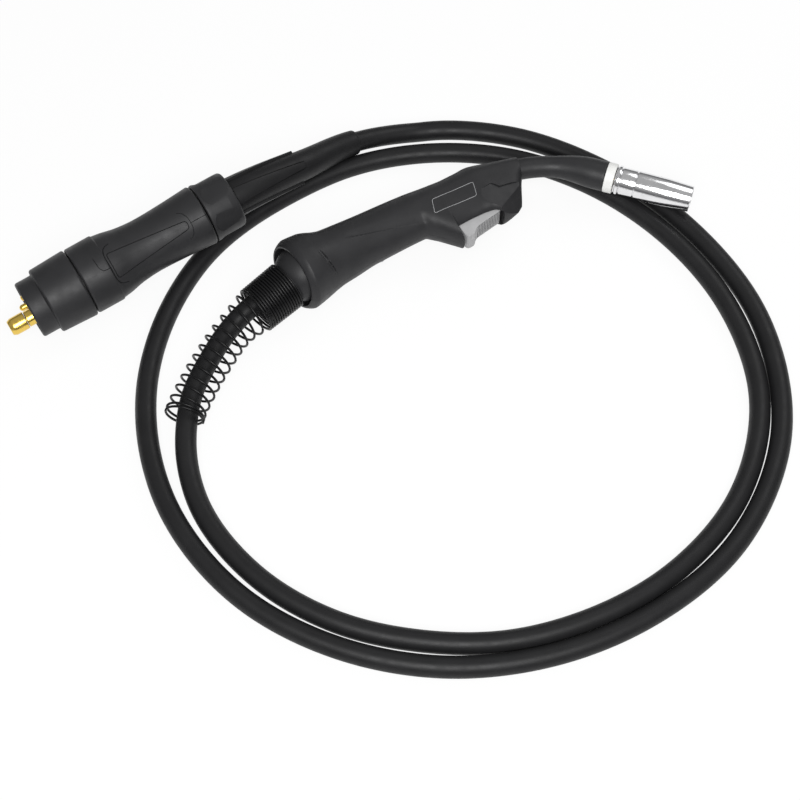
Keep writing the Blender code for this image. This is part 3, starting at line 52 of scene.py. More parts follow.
FULL_TURN = 2.0 * math.pi
QUARTER_TURN = math.pi / 2.0

# Sizes that the solids have too
CABLE_RADIUS = 0.0075
FLOOR_GAP = 0.0002
FIT_GAP = 0.0003
BALL_RADIUS = 0.0212
BALL_DEPTH = 0.009
BALL_FRONT = 0.012
BALL_BORE = 0.008
TAIL_RADIUS = 0.0157
TAIL_TAPER = 0.0006
TAIL_LENGTH = 0.028
TAIL_BORE = 0.0118
TAIL_YAW = math.radians(10.4)
TAIL_PITCH = math.radians(5.7)
SPRING_WIRE = 0.0018
SPRING_CLOSED = 0.030
SPRING_OPEN = 0.092
SPRING_END = 0.005
SPRING_TAPER = 0.024
SPRING_OPEN_RADIUS = 0.0136
AXIS_HEIGHT = 0.0273
BEND_START = 0.165
BEND_RADIUS = 0.090
BEND_ANGLE = math.radians(50.0)
NECK_STRAIGHT = 0.015
NECK_RADIUS = 0.008
NECK_REAR = 0.100
NECK_CORE = 0.005
TRIGGER_REAR = 0.123
TRIGGER_FRONT = 0.157
TRIGGER_HALF = 0.008
PIN_PLACE = (0.1515, -0.0265, 0.0)
PIN_RADIUS = 0.0018
SHANK_RADIUS = 0.0016
SHANK_LENGTH = 0.018
SHANK_MIDDLE = -0.0002
HEAD_RADIUS = 0.0031
HEAD_SEAT = 0.009
PLUG_TILT = math.radians(5.6)
PARTING_ROLL = math.radians(37.0)
NUT_LENGTH = 0.0416
HOUSING_FRONT = NUT_LENGTH + 0.0009
HOUSING_REAR = 0.1423
COLLAR_REAR = 0.1678
CABLE_END = 0.0966
BOOT_LENGTH = 0.114
BOOT_ROOT = 0.0235
MAIN_PIN_X = -0.0055
CONTACT_PLACES = ((0.0085, -0.0054), (0.0085, 0.0054))
CONTACT_TIPS = (-0.005, -0.001)
CONTACT_RADIUS = 0.0024
CONTACT_LENGTH = 0.025
CONTACT_HOLE = 0.0027

GRIP_PLACE = Vector((-0.146489, 0.036305, AXIS_HEIGHT))
BALL = GRIP_PLACE + Vector((BALL_DEPTH, 0.0, 0.0))
MOUTH = Vector((-0.319889, 0.112105, 0.023683))
TAIL = Vector((-math.cos(TAIL_PITCH) * math.cos(TAIL_YAW), -math.cos(TAIL_PITCH) * math.sin(TAIL_YAW),
               -math.sin(TAIL_PITCH)))
TAIL_START = math.sqrt(BALL_RADIUS**2 - TAIL_RADIUS**2)
NOZZLE_AXIS = Vector((math.cos(BEND_ANGLE), -math.sin(BEND_ANGLE), 0.0))
PLUG_AXIS = Vector((math.cos(PLUG_TILT), 0.0, math.sin(PLUG_TILT)))

# The cable's way from the spring to the boot in millimetres: offsets in plan from the ball, and the lift
# above lying flat
CABLE_WAY = (
    (-47.3, -5.5, 17.6), (-67.5, -11.1, 13.3), (-89.4, -23.0, 10.4), (-117.0, -44.4, 7.7),
    (-127.6, -58.0, 6.1), (-137.7, -74.9, 3.1), (-149.0, -110.0, 0.0), (-143.0, -182.0, 0.0),
    (-114.0, -239.0, 0.0), (-73.0, -280.0, 0.0), (-25.5, -309.2, 0.0), (29.7, -324.9, 0.0),
    (94.5, -326.3, 0.0), (164.6, -304.4, 0.0), (225.2, -249.8, 0.0), (253.7, -173.0, 0.0),
    (252.2, -97.9, 0.0), (229.0, -30.0, 0.0), (191.6, 21.1, 0.0), (138.3, 58.7, 0.0),
    (86.4, 76.3, 0.0), (40.3, 79.1, 0.0), (-49.3, 62.0, 0.0), (-91.0, 36.0, 0.0),
    (-138.0, -16.0, 0.0), (-169.0, -107.0, 0.0), (-158.0, -193.0, 0.0), (-120.0, -258.0, 0.0),
    (-69.0, -303.5, 0.0), (-9.0, -331.5, 0.0), (62.0, -343.0, 0.0), (143.5, -331.0, 0.0),
    (221.9, -278.9, 0.0), (267.0, -192.7, 0.0), (269.9, -102.1, 0.0), (245.5, -22.5, 0.0),
    (204.9, 37.4, 0.0), (145.9, 78.2, 0.0), (95.8, 88.1, 10.5), (49.4, 81.6, 22.5),
)
# The open spring's way in the same terms; its lift is above its own lying height
SPRING_WAY = (
    (-65.0, -14.0, 6.8), (-87.8, -25.5, 3.8), (-109.4, -39.4, 1.6), (-128.3, -55.2, 0.4),
    (-135.0, -64.0, 0.4),
)

# Grip sections in millimetres: distance from the rim, reach up and down, half height, squareness below
GRIP_SECTIONS = (
    (0.0, 24.2, 24.2, 24.2, 2.0), (0.5, 24.75, 24.75, 24.75, 2.0), (4.5, 27.05, 27.05, 27.05, 2.0),
    (5.3, 27.3, 27.2, 27.3, 2.0), (8.2, 27.3, 26.75, 27.1, 2.0), (16.0, 27.0, 25.0, 26.1, 2.0),
    (21.0, 25.6, 23.85, 24.8, 2.0), (26.0, 23.5, 22.7, 23.1, 2.0), (32.0, 21.9, 21.6, 21.6, 2.0),
    (42.0, 21.3, 20.8, 20.4, 2.0),
    (62.0, 20.4, 19.0, 18.2, 2.0), (87.0, 19.3, 18.9, 17.0, 2.0), (102.0, 18.1, 19.2, 16.8, 2.0),
    (108.0, 17.4, 24.0, 16.5, 2.3), (114.5, 16.5, 32.1, 16.2, 2.5), (120.6, 15.75, 40.2, 16.0, 2.6),
    (120.9, 15.7, 40.6, 16.0, 2.6),
    (122.3, 15.6, 30.8, 16.0, 3.2), (133.0, 14.7, 30.5, 15.6, 3.2), (145.0, 14.7, 30.5, 15.6, 3.6),
    (152.0, 15.2, 31.2, 15.6, 4.2), (155.5, 15.0, 33.2, 15.5, 4.0), (158.0, 14.4, 36.8, 15.3, 3.5),
    (161.0, 13.6, 37.4, 14.9, 3.2), (165.0, 12.4, 37.5, 14.1, 3.1), (170.0, 10.9, 37.3, 13.1, 3.0),
    (174.0, 10.2, 37.0, 12.4, 3.0), (178.0, 9.6, 36.5, 11.6, 3.0), (181.0, 9.4, 33.7, 11.1, 2.8),
    (184.0, 9.2, 29.0, 10.7, 2.6), (188.0, 9.2, 20.4, 10.1, 2.3), (190.0, 9.2, 15.2, 9.8, 2.1),
    (192.0, 9.2, 10.4, 9.6, 2.0),
)


# Camera, light and floor

# Lamps: name, place, width and power
LAMPS = (("key_light", (-0.55, -0.84, 1.24), 0.95, 21.0), ("fill_light", (0.9, 0.2, 1.10), 0.9, 4.0))
LAMP_TARGET = (-0.03, -0.08, 0.0)
# Sky: height and colour of its dim lower end and its bright upper end
SKY = ((0.05, (0.30, 0.30, 0.31, 1.0)), (0.75, (1.0, 1.0, 1.0, 1.0)))
FLOOR_HALF = 40.0
FLOOR_LEVEL = -0.0003
FLOOR_GLOW_SHARE = 0.86


def aim(obj, eye, target):
    obj.location = eye
    obj.rotation_euler = (Vector(target) - Vector(eye)).to_track_quat("-Z", "Y").to_euler()


def link(obj):
    bpy.context.scene.collection.objects.link(obj)
    return obj


def fill(node, values):
    """The node, after the named inputs have got their values."""
    for name, value in values.items():
        node.inputs[name].default_value = value
    return node


def make_camera():
    data = bpy.data.cameras.new("camera")
    data.lens = 79.47
    data.sensor_width = 36.0
    data.clip_start = 0.05
    data.clip_end = 50.0
    camera = link(bpy.data.objects.new("camera", data))
    eye, target = (-0.4530, -0.6105, 1.0834), (-0.12568, -0.07749, 0.0)
    aim(camera, eye, target)
    bpy.context.scene.camera = camera


def make_lamp(name, eye, width, power):
    data = bpy.data.lights.new(name, "AREA")
    data.shape = "DISK"
    data.size = width
    data.energy = power
    aim(link(bpy.data.objects.new(name, data)), eye, LAMP_TARGET)


def seen_directly(nodes, links):
    """1 for rays that show the surroundings: from the camera or from a mirror."""
    path = nodes.new("ShaderNodeLightPath")
    most = nodes.new("ShaderNodeMath")
    most.operation = "MAXIMUM"
    for i, name in enumerate(("Is Camera Ray", "Is Glossy Ray")):
        links.new(path.outputs[name], most.inputs[i])
    return most.outputs[0]


def make_world():
    world = bpy.data.worlds.new("studio")
    world.use_nodes = True
    bpy.context.scene.world = world
    nodes, links = world.node_tree.nodes, world.node_tree.links
    nodes.clear()
    coords = nodes.new("ShaderNodeTexCoord")
    split = nodes.new("ShaderNodeSeparateXYZ")
    links.new(coords.outputs["Generated"], split.inputs[0])
    ramp = nodes.new("ShaderNodeValToRGB")
    ramp.color_ramp.interpolation = "EASE"
    for stop, (height, colour) in zip(ramp.color_ramp.elements, SKY):
        stop.position = height
        stop.color = colour
    links.new(split.outputs["Z"], ramp.inputs[0])
    soft = fill(nodes.new("ShaderNodeBackground"), {"Strength": 0.45})
    links.new(ramp.outputs["Color"], soft.inputs["Color"])
    output = nodes.new("ShaderNodeOutputWorld")
    links.new(soft.outputs[0], output.inputs["Surface"])


def make_floor():
    """A white floor: it glows for rays that see it directly and keeps the shadow in its painted share."""
    mesh = bpy.data.meshes.new("floor")
    corners = ((-1.0, -1.0), (1.0, -1.0), (1.0, 1.0), (-1.0, 1.0))
    mesh.from_pydata([(x * FLOOR_HALF, y * FLOOR_HALF, FLOOR_LEVEL) for x, y in corners], [], [(0, 1, 2, 3)])
    floor = link(bpy.data.objects.new("floor", mesh))
    mat = bpy.data.materials.new("floor_white")
    mat.use_nodes = True
    nodes, links = mat.node_tree.nodes, mat.node_tree.links
    nodes.clear()
    paint = fill(nodes.new("ShaderNodeBsdfDiffuse"), {"Color": (0.62, 0.62, 0.62, 1.0)})
    glow = fill(nodes.new("ShaderNodeEmission"), {"Strength": 1.05})
    share = fill(nodes.new("ShaderNodeMath"), {1: FLOOR_GLOW_SHARE})
    share.operation = "MULTIPLY"
    links.new(seen_directly(nodes, links), share.inputs[0])
    mix = nodes.new("ShaderNodeMixShader")
    links.new(share.outputs[0], mix.inputs[0])
    links.new(paint.outputs[0], mix.inputs[1])
    links.new(glow.outputs[0], mix.inputs[2])
    output = nodes.new("ShaderNodeOutputMaterial")
    links.new(mix.outputs[0], output.inputs["Surface"])
    mesh.materials.append(mat)


make_camera()
make_world()
make_floor()
for lamp in LAMPS:
    make_lamp(*lamp)
bpy.context.scene.view_settings.view_transform = "Standard"


# Materials

# The part of a noise's range that is used
NOISE_LOW = 0.3
NOISE_HIGH = 0.7


class Surface:
    """A principled material whose colour, roughness and relief vary over the piece."""

    def __init__(self, name, colour, rough, metal=0.0, specular=0.5):
        self.mat = bpy.data.materials.new(name)
        self.mat.use_nodes = True
        self.nodes = self.mat.node_tree.nodes
        self.links = self.mat.node_tree.links
        self.shader = fill(self.nodes["Principled BSDF"], {
            "Base Color": (*colour, 1.0), "Metallic": metal,
            "Roughness": rough, "Specular IOR Level": specular})
        self.colour = colour
        self.rough = rough
        self.place = self.nodes.new("ShaderNodeTexCoord").outputs["Object"]
        self.relief = None

    def noise(self, scale, detail):
        node = fill(self.nodes.new("ShaderNodeTexNoise"), {"Scale": scale, "Detail": detail})
        self.links.new(self.place, node.inputs["Vector"])
        return node.outputs["Fac"]

    def rings(self, axis, scale, detail):
        """Fine tool marks round a turned axis."""
        along = fill(self.nodes.new("ShaderNodeVectorMath"), {1: axis})
        along.operation = "DOT_PRODUCT"
        self.links.new(self.place, along.inputs[0])
        node = fill(self.nodes.new("ShaderNodeTexNoise"), {"Scale": scale, "Detail": detail})
        node.noise_dimensions = "1D"
        self.links.new(along.outputs["Value"], node.inputs["W"])
        return node.outputs["Fac"]

    def tint(self, source, spread):
        """Base colour from darker to lighter by a source."""
        ramp = self.nodes.new("ShaderNodeValToRGB")
        low, high = ramp.color_ramp.elements
        low.position, high.position = NOISE_LOW, NOISE_HIGH
        low.color = (*[c * (1.0 - spread) for c in self.colour], 1.0)
        high.color = (*[c * (1.0 + spread) for c in self.colour], 1.0)
        self.links.new(source, ramp.inputs[0])
        self.links.new(ramp.outputs["Color"], self.shader.inputs["Base Color"])

    def shine(self, source, spread):
        """Roughness that moves round its middle value by a source."""
        span = fill(self.nodes.new("ShaderNodeMapRange"), {
            "From Min": NOISE_LOW, "From Max": NOISE_HIGH,
            "To Min": self.rough - spread, "To Max": self.rough + spread})
        self.links.new(source, span.inputs["Value"])
        self.links.new(span.outputs["Result"], self.shader.inputs["Roughness"])

    def bump(self, source, depth):
        """Fine relief by a source, on top of any relief before it."""
        node = fill(self.nodes.new("ShaderNodeBump"), {"Distance": depth, "Strength": 1.0})
        self.links.new(source, node.inputs["Height"])
        if self.relief:
            self.links.new(self.relief, node.inputs["Normal"])
        self.relief = node.outputs["Normal"]
        self.links.new(self.relief, self.shader.inputs["Normal"])


def moulded(name, colour, rough, specular, grain):
    """Moulded plastic: a fine even grain, faint flow marks and handling shine."""
    surface = Surface(name, colour, rough, specular=specular)
    surface.tint(surface.noise(scale=55.0, detail=5.0), spread=0.12)
    surface.shine(surface.noise(scale=140.0, detail=3.0), spread=0.06)
    surface.bump(surface.noise(scale=2600.0, detail=2.0), depth=grain)
    surface.bump(surface.noise(scale=260.0, detail=3.0), depth=grain * 1.5)
    return surface.mat


def turned_metal(name, colour, rough, axis):
    """Turned metal: tool rings, and small dull patches."""
    surface = Surface(name, colour, rough, metal=1.0)
    surface.tint(surface.noise(scale=120.0, detail=4.0), spread=0.05)
    surface.shine(surface.noise(scale=400.0, detail=4.0), spread=rough * 0.4)
    surface.bump(surface.rings(axis, scale=5000.0, detail=3.0), depth=0.000008)
    return surface.mat


# Moulded surfaces: colour, roughness, specular level and depth of grain
MOULDED = {
    "black_plastic": ((0.020, 0.020, 0.0214), 0.47, 0.30, 0.00003),
    "black_rubber": ((0.0115, 0.0115, 0.0122), 0.44, 0.22, 0.00002),
    "grey_plastic": ((0.37, 0.37, 0.374), 0.45, 0.4, 0.00002),
    "white_insulator": ((0.84, 0.84, 0.82), 0.40, 0.5, 0.00001),
    "black_wire": ((0.004, 0.004, 0.0044), 0.34, 0.22, 0.000005),
    "print_white": ((0.34, 0.34, 0.35), 0.5, 0.3, 0.00001),
}
# Turned metals: colour, roughness and the axis of the tool rings
TURNED = {
    "chrome": ((0.80, 0.80, 0.81), 0.13, NOZZLE_AXIS),
    "brass": ((0.83, 0.58, 0.125), 0.24, PLUG_AXIS),
    "copper": ((0.80, 0.43, 0.28), 0.28, NOZZLE_AXIS),
    "steel": ((0.55, 0.55, 0.56), 0.32, UP),
}
materials = {name: moulded(name, *values) for name, values in MOULDED.items()}
materials.update({name: turned_metal(name, *values) for name, values in TURNED.items()})

for row in frame["record"]["subparts"]:
    slots = frame["nodes"][row["node"]].data.materials
    slots.clear()
    slots.append(materials[row["material_slot"]])


# Mesh helpers

ON_AXIS = 1e-7
# The most of an edge that one rounded corner takes up
CORNER_SHARE = 0.45
# A direction that no rod here runs along
ROD_UPWARD = (0.1, 1.0, 0.2)


def axes(origin, along, upward=UP):
    """A frame at origin with its Z along one direction and its Y as near upward as it can be."""
    z_axis = Vector(along).normalized()
    y_axis = (Vector(upward) - z_axis * z_axis.dot(upward)).normalized()
    x_axis = y_axis.cross(z_axis)
    turn = Matrix((x_axis, y_axis, z_axis)).transposed().to_4x4()
    return Matrix.Translation(origin) @ turn


GRIP = Matrix.Translation(GRIP_PLACE)
GRIP_TURNED = GRIP @ axes((0.0, 0.0, 0.0), AHEAD)
TAIL_FRAME = axes(BALL, TAIL)
PLUG = axes(MOUTH, PLUG_AXIS)
PLUG_ROLLED = PLUG @ Matrix.Rotation(PARTING_ROLL, 4, "Z")


def ease(value, start, end):
    """0 before start, 1 after end, and a smooth rise between."""
    part = min(1.0, max(0.0, (value - start) / (end - start)))
    return part * part * (3.0 - 2.0 * part)


def spread(start, end, steps):
    """Evenly spaced values from start to end, both included."""
    return [start + (end - start) * i / steps for i in range(steps + 1)]


def circle(sides):
    return [FULL_TURN * i / sides for i in range(sides)]


def around(point, side, upward, radius, turn):
    """The place at a radius from a point, turned from side towards upward."""
    return point + radius * (math.cos(turn) * side + math.sin(turn) * upward)


def arc(radius, start, end, steps, height=0.0):
    """Radius and height pairs along an arc about the axis point at a height."""
    return [(radius * math.cos(a), height + radius * math.sin(a)) for a in spread(start, end, steps)]


def hermite(u, span, one, two, head, tail):
    """The smooth way from one to two at share u, by the slopes at both ends."""
    return ((2 * u**3 - 3 * u**2 + 1) * one + (3 * u**2 - 2 * u**3) * two
            + span * ((u**3 - 2 * u**2 + u) * head + (u**3 - u**2) * tail))


def neighbours(points, i, cyclic):
    """The points before and after one, or itself at an open end."""
    before = points[i - 1] if cyclic or i else points[i]
    after = points[(i + 1) % len(points)] if cyclic or i < len(points) - 1 else points[i]
    return before, after


def divided(line, step, cyclic):
    """The line with more points, about a step apart."""
    found = []
    count = len(line)
    for i in range(count if cyclic else count - 1):
        here, after = Vector(line[i]), Vector(line[(i + 1) % count])
        steps = max(1, round((after - here).length / step))
        found += [here.lerp(after, k / steps) for k in range(steps)]
    if not cyclic:
        found.append(Vector(line[-1]))
    return found


def build_mesh(verts, faces, place=None):
    """A mesh with its normals outside and any place written into its points."""
    mesh = bpy.data.meshes.new("mesh")
    mesh.from_pydata(verts, [], faces)
    if place:
        mesh.transform(place)
    bm = bmesh.new()
    bm.from_mesh(mesh)
    bmesh.ops.recalc_face_normals(bm, faces=bm.faces)
    bm.to_mesh(mesh)
    bm.free()
    return mesh


def loft(rings, closed=False, place=None):
    """A skin over rings of equal count, joined end to start or capped at both ends."""
    count = len(rings[0])
    verts = [tuple(point) for ring in rings for point in ring]
    faces = []
    for r in range(len(rings) if closed else len(rings) - 1):
        one, two = r * count, (r + 1) % len(rings) * count
        for i in range(count):
            j = (i + 1) % count
            faces.append((one + i, one + j, two + j, two + i))
    if not closed:
        faces.append(tuple(range(count)))
        faces.append(tuple(range(len(verts) - count, len(verts))))
    return build_mesh(verts, faces, place)


def lathe(points, place, sides=96, closed=True):
    """A turned piece from radius and height pairs: a closed loop, or from axis to axis."""
    verts = []
    rows = []
    for radius, height in points:
        if radius < ON_AXIS:
            rows.append([len(verts)] * sides)
            verts.append((0.0, 0.0, height))
        else:
            rows.append(list(range(len(verts), len(verts) + sides)))
            verts += [(radius * math.cos(turn), radius * math.sin(turn), height) for turn in circle(sides)]
    pairs = list(zip(rows, rows[1:]))
    if closed:
        pairs.append((rows[-1], rows[0]))
    faces = []
    for one, two in pairs:
        for i in range(sides):
            j = (i + 1) % sides
            corners = list(dict.fromkeys((one[i], one[j], two[j], two[i])))
            if len(corners) > 2:
                faces.append(corners)
    return build_mesh(verts, faces, place)


def rounded(points, size, closed=True, steps=4):
    """The same outline with each corner drawn as a small arc-like curve."""
    found = []
    count = len(points)
    for i, point in enumerate(points):
        here = Vector(point)
        if not closed and i in (0, count - 1):
            found.append(tuple(here))
            continue
        before, after = Vector(points[i - 1]) - here, Vector(points[(i + 1) % count]) - here
        reach = min(size, CORNER_SHARE * before.length, CORNER_SHARE * after.length)
        start, end = here + before.normalized() * reach, here + after.normalized() * reach
        for k in range(steps + 1):
            u = k / steps
            found.append(tuple((1 - u)**2 * start + 2 * u * (1 - u) * here + u**2 * end))
    return found


def box(low, high, place):
    xs, ys, zs = zip(low, high)
    verts = [(x, y, z) for x in xs for y in ys for z in zs]
    faces = [(0, 1, 3, 2), (4, 6, 7, 5), (0, 4, 5, 1), (2, 3, 7, 6), (0, 2, 6, 4), (1, 5, 7, 3)]
    return build_mesh(verts, faces, place)


def prism(outline, low, high, place):
    """An outline in plan between two heights."""
    return loft([[(x, y, height) for x, y in outline] for height in (low, high)], False, place)


def rod(centre, along, radius, length, place, sides=24):
    half = length / 2.0
    points = [(0.0, -half), (radius, -half), (radius, half), (0.0, half)]
    return lathe(points, place @ axes(centre, along, ROD_UPWARD), sides, False)


def swept(points, radius, sides, cyclic=False):
    """A round bead along a line, with flat ends or joined into a loop."""
    points = [Vector(p) for p in points]
    rings = []
    for i, point in enumerate(points):
        before, after = neighbours(points, i, cyclic)
        along = (after - before).normalized()
        side = along.cross(UP).normalized()
        over = side.cross(along)
        rings.append([around(point, side, over, radius, turn) for turn in circle(sides)])
    return loft(rings, cyclic)


def settled(carrier, helpers=()):
    """The carrier's mesh after its modifiers. The carrier and its helpers are taken away."""
    graph = bpy.context.evaluated_depsgraph_get()
    graph.update()
    made = bpy.data.meshes.new_from_object(carrier.evaluated_get(graph))
    for item in (carrier, *helpers):
        old = item.data
        bpy.data.objects.remove(item, do_unlink=True)
        bpy.data.meshes.remove(old)
    return made


def carve(mesh, tools, operation="DIFFERENCE"):
    """The mesh after each tool has cut it."""
    carrier = link(bpy.data.objects.new("work", mesh))
    blades = []
    for tool in tools:
        blade = link(bpy.data.objects.new("blade", tool))
        step = carrier.modifiers.new("cut", "BOOLEAN")
        step.operation = operation
        step.object = blade
        step.solver = "MANIFOLD"
        blades.append(blade)
    return settled(carrier, blades)


def piece(name, mesh, body, slot, nodes=(), mat=None, sharp=35.0):
    """One piece of the visual model on its body, in place of the named solids."""
    obj = link(bpy.data.objects.new(name, mesh))
    mesh.name = name
    mesh.materials.clear()
    mesh.materials.append(mat or materials[slot])
    mesh.shade_smooth()
    mesh.set_sharp_from_angle(angle=math.radians(sharp))
    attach(obj, body)
    if nodes:
        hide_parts(*nodes)
    return obj


def turned_piece(name, outline, corner, place, sides, body, slot, node, sharp=35.0):
    """A piece turned from an outline whose corners are rounded."""
    return piece(name, lathe(rounded(outline, corner), place, sides), body, slot, [node], sharp=sharp)


# Paths

def neck_path(reach):
    """Point and heading of the grip's and neck's centre line at a distance from the rim."""
    if reach <= BEND_START:
        return Vector((reach, 0.0, 0.0)), 0.0
    angle = min((reach - BEND_START) / BEND_RADIUS, BEND_ANGLE)
    point = Vector((BEND_START + BEND_RADIUS * math.sin(angle), -BEND_RADIUS * (1.0 - math.cos(angle)), 0.0))
    rest = reach - BEND_START - BEND_RADIUS * angle
    return point + rest * Vector((math.cos(angle), -math.sin(angle), 0.0)), angle


def neck_ring(reach, radius, sides):
    """A ring round the neck's centre line at a distance from the rim."""
    point, angle = neck_path(reach)
    side = Vector((math.sin(angle), math.cos(angle), 0.0))
    return [around(point, side, UP, radius, turn) for turn in circle(sides)]


class SmoothPath:
    """A smooth curve through points, kept above a floor and read by the distance along it."""

    FINENESS = 16

    def __init__(self, points, floor):
        self.points = self.dense([Vector(p) for p in points])
        for point in self.points:
            point.z = max(point.z, floor)
        self.marks = [0.0]
        for one, two in zip(self.points, self.points[1:]):
            self.marks.append(self.marks[-1] + (two - one).length)
        self.length = self.marks[-1]

    def dense(self, knots):
        spans = [(b - a).length for a, b in zip(knots, knots[1:])]
        slopes = [(b - a) / d for a, b, d in zip(knots, knots[1:], spans)]
        heads = [slopes[0]]
        for i in range(1, len(slopes)):
            before, after = spans[i - 1], spans[i]
            heads.append((slopes[i - 1] * after + slopes[i] * before) / (before + after))
        heads.append(slopes[-1])
        points = []
        for i, span in enumerate(spans):
            for u in spread(0.0, 1.0, self.FINENESS)[:-1]:
                points.append(hermite(u, span, knots[i], knots[i + 1], heads[i], heads[i + 1]))
        return points + [knots[-1]]

    def at(self, reach):
        reach = min(max(reach, 0.0), self.length)
        low = min(bisect.bisect_right(self.marks, reach) - 1, len(self.marks) - 2)
        part = (reach - self.marks[low]) / (self.marks[low + 1] - self.marks[low])
        return self.points[low].lerp(self.points[low + 1], part)

    def section(self, reach, near=0.0005):
        """Point, side and upward direction at a distance along the path."""
        along = (self.at(reach + near) - self.at(reach - near)).normalized()
        side = along.cross(UP).normalized()
        return self.at(reach), side, side.cross(along)


def laid_points(way, lying):
    """Places of a way that is given in plan from the ball, over a lying height."""
    return [(BALL.x + x * MM, BALL.y + y * MM, lying + lift * MM) for x, y, lift in way]


def cable_route():
    lying = CABLE_RADIUS + FLOOR_GAP
    past_ball, before_collar, in_collar = 0.008, 0.002, 0.018
    points = [BALL - past_ball * TAIL, BALL + TAIL_START * TAIL, *laid_points(CABLE_WAY, lying)]
    for mark in (COLLAR_REAR + before_collar, COLLAR_REAR - in_collar, CABLE_END):
        points.append(MOUTH + mark * PLUG_AXIS)
    return SmoothPath(points, lying)


route = cable_route()


# Grip

GRIP_SIDES = 160
# Spacing of the grip's sections in millimetres: from, to and step
GRIP_STEPS = ((0.0, 6.0, 0.25), (6.0, 18.0, 1.0), (18.0, 28.0, 0.25), (28.0, 100.0, 1.2), (100.0, 119.0, 0.8),
              (119.0, 123.5, 0.25), (123.5, 160.0, 1.2), (160.0, 192.0, 0.6))
# The rim leans: shares of the height and of the reach across, over a length in millimetres
RIM_LEAN_UP = 0.12
RIM_LEAN_SIDE = 0.09
RIM_LEAN_LENGTH = 20.0

# A long fold along the grip's side, in millimetres; depths are shares of the distance from the axis
FOLD_IN, FOLD_OUT = (38.0, 56.0), (97.0, 108.0)
FOLD_STEP, FOLD_SLOPE = (-0.2, 0.4), (0.4, 8.0)
FOLD_CLEAR, FOLD_DEPTH = 4.0, 0.046
FOLD_FROM, FOLD_RUN, FOLD_PLACE, FOLD_FALL = 41.0, 59.0, -2.0, 12.6

# A short double line by the flare, in the same terms: offset and depth of each line
FLARE_IN, FLARE_OUT = (-21.0, -18.0), (-7.0, -4.0)
FLARE_CLEAR, FLARE_HALF = 6.0, 0.5
FLARE_PLACE, FLARE_MIDDLE, FLARE_LEAN = 22.4, -12.0, 0.30
FLARE_LINES = ((-0.9, 0.026), (0.9, 0.046))

SCREW_PLACES = ((0.066, 0.0135), (0.066, -0.0135), (0.164, -0.0200))

# Facet and cheek of the head's front: plan of the cutter, and the plane's point and normal
FACETS = (
    (((0.1470, -0.0148), (0.1470, -0.0450), (0.1960, -0.0450), (0.1960, -0.0190), (0.1837, -0.0190),
      (0.1740, -0.0178), (0.1659, -0.0176), (0.1612, -0.0125)),
     (0.1510, -0.0148, 0.0156), (0.201, -0.182, 0.963)),
    (((0.1545, -0.0240), (0.1545, -0.0600), (0.2000, -0.0600), (0.2000, -0.0120), (0.1860, -0.0120)),
     (0.1563, -0.0333, 0.0110), (0.375, -0.608, 0.700)),
)

# Reach of the boxes that part a moulding into halves
PARTING_REACH = 0.4


def steady_line(places, values):
    """A smooth line through values that never swings past them."""
    gaps = [b - a for a, b in zip(places, places[1:])]
    slopes = [(b - a) / g for a, b, g in zip(values, values[1:], gaps)]
    heads = [slopes[0]]
    for i in range(1, len(slopes)):
        one, two = slopes[i - 1], slopes[i]
        if one * two <= 0.0:
            heads.append(0.0)
        else:
            w1, w2 = 2 * gaps[i] + gaps[i - 1], gaps[i] + 2 * gaps[i - 1]
            heads.append((w1 + w2) / (w1 / one + w2 / two))
    heads.append(slopes[-1])

    def read(x):
        i = 0
        while i < len(gaps) - 1 and x > places[i + 1]:
            i += 1
        return hermite((x - places[i]) / gaps[i], gaps[i], values[i], values[i + 1], heads[i], heads[i + 1])
    return read


section_places, *section_values = zip(*GRIP_SECTIONS)
section_lines = [steady_line(section_places, values) for values in section_values]


def grip_point(x, turn):
    """A point of the grip's skin, by millimetres along the grip, in the grip's own frame."""
    top, low, half, square = [line(x) for line in section_lines]
    c, s = math.cos(turn), math.sin(turn)
    power = 1.0 if c > 0.0 else 2.0 / square
    across = math.copysign(abs(c)**power, c) * (top if c > 0.0 else low)
    upward = math.copysign(abs(s)**power, s) * half
    fold = fold_depth(x, across, abs(upward))
    point, angle = neck_path(x * MM)
    side = Vector((math.sin(angle), math.cos(angle), 0.0))
    across *= 1.0 - fold
    upward *= 1.0 - fold
    lean = RIM_LEAN_UP * upward - RIM_LEAN_SIDE * across
    point.x += lean * max(0.0, 1.0 - x / RIM_LEAN_LENGTH) * MM
    return point + (across * side + upward * UP) * MM


def fold_depth(x, across, upward):
    """The share by which the moulded lines draw the skin in."""
    depth = 0.0
    if FOLD_IN[0] < x < FOLD_OUT[1] and upward > FOLD_CLEAR:
        away = across - (FOLD_PLACE - FOLD_FALL * ((x - FOLD_FROM) / FOLD_RUN))
        fade = ease(x, *FOLD_IN) * (1.0 - ease(x, *FOLD_OUT))
        depth += FOLD_DEPTH * fade * ease(away, *FOLD_STEP) * (1.0 - ease(away, *FOLD_SLOPE))
    if upward > FLARE_CLEAR and FLARE_IN[0] < across < FLARE_OUT[1]:
        fade = ease(across, *FLARE_IN) * (1.0 - ease(across, *FLARE_OUT))
        middle = FLARE_PLACE - FLARE_LEAN * (across - FLARE_MIDDLE)
        for offset, deep in FLARE_LINES:
            depth += deep * fade * max(0.0, 1.0 - abs(x - (middle + offset)) / FLARE_HALF)
    return depth


def grip_stations():
    marks = []
    for low, high, step in GRIP_STEPS:
        marks += spread(low, high, max(1, round((high - low) / step)))[:-1]
    return marks + [GRIP_STEPS[-1][1]]


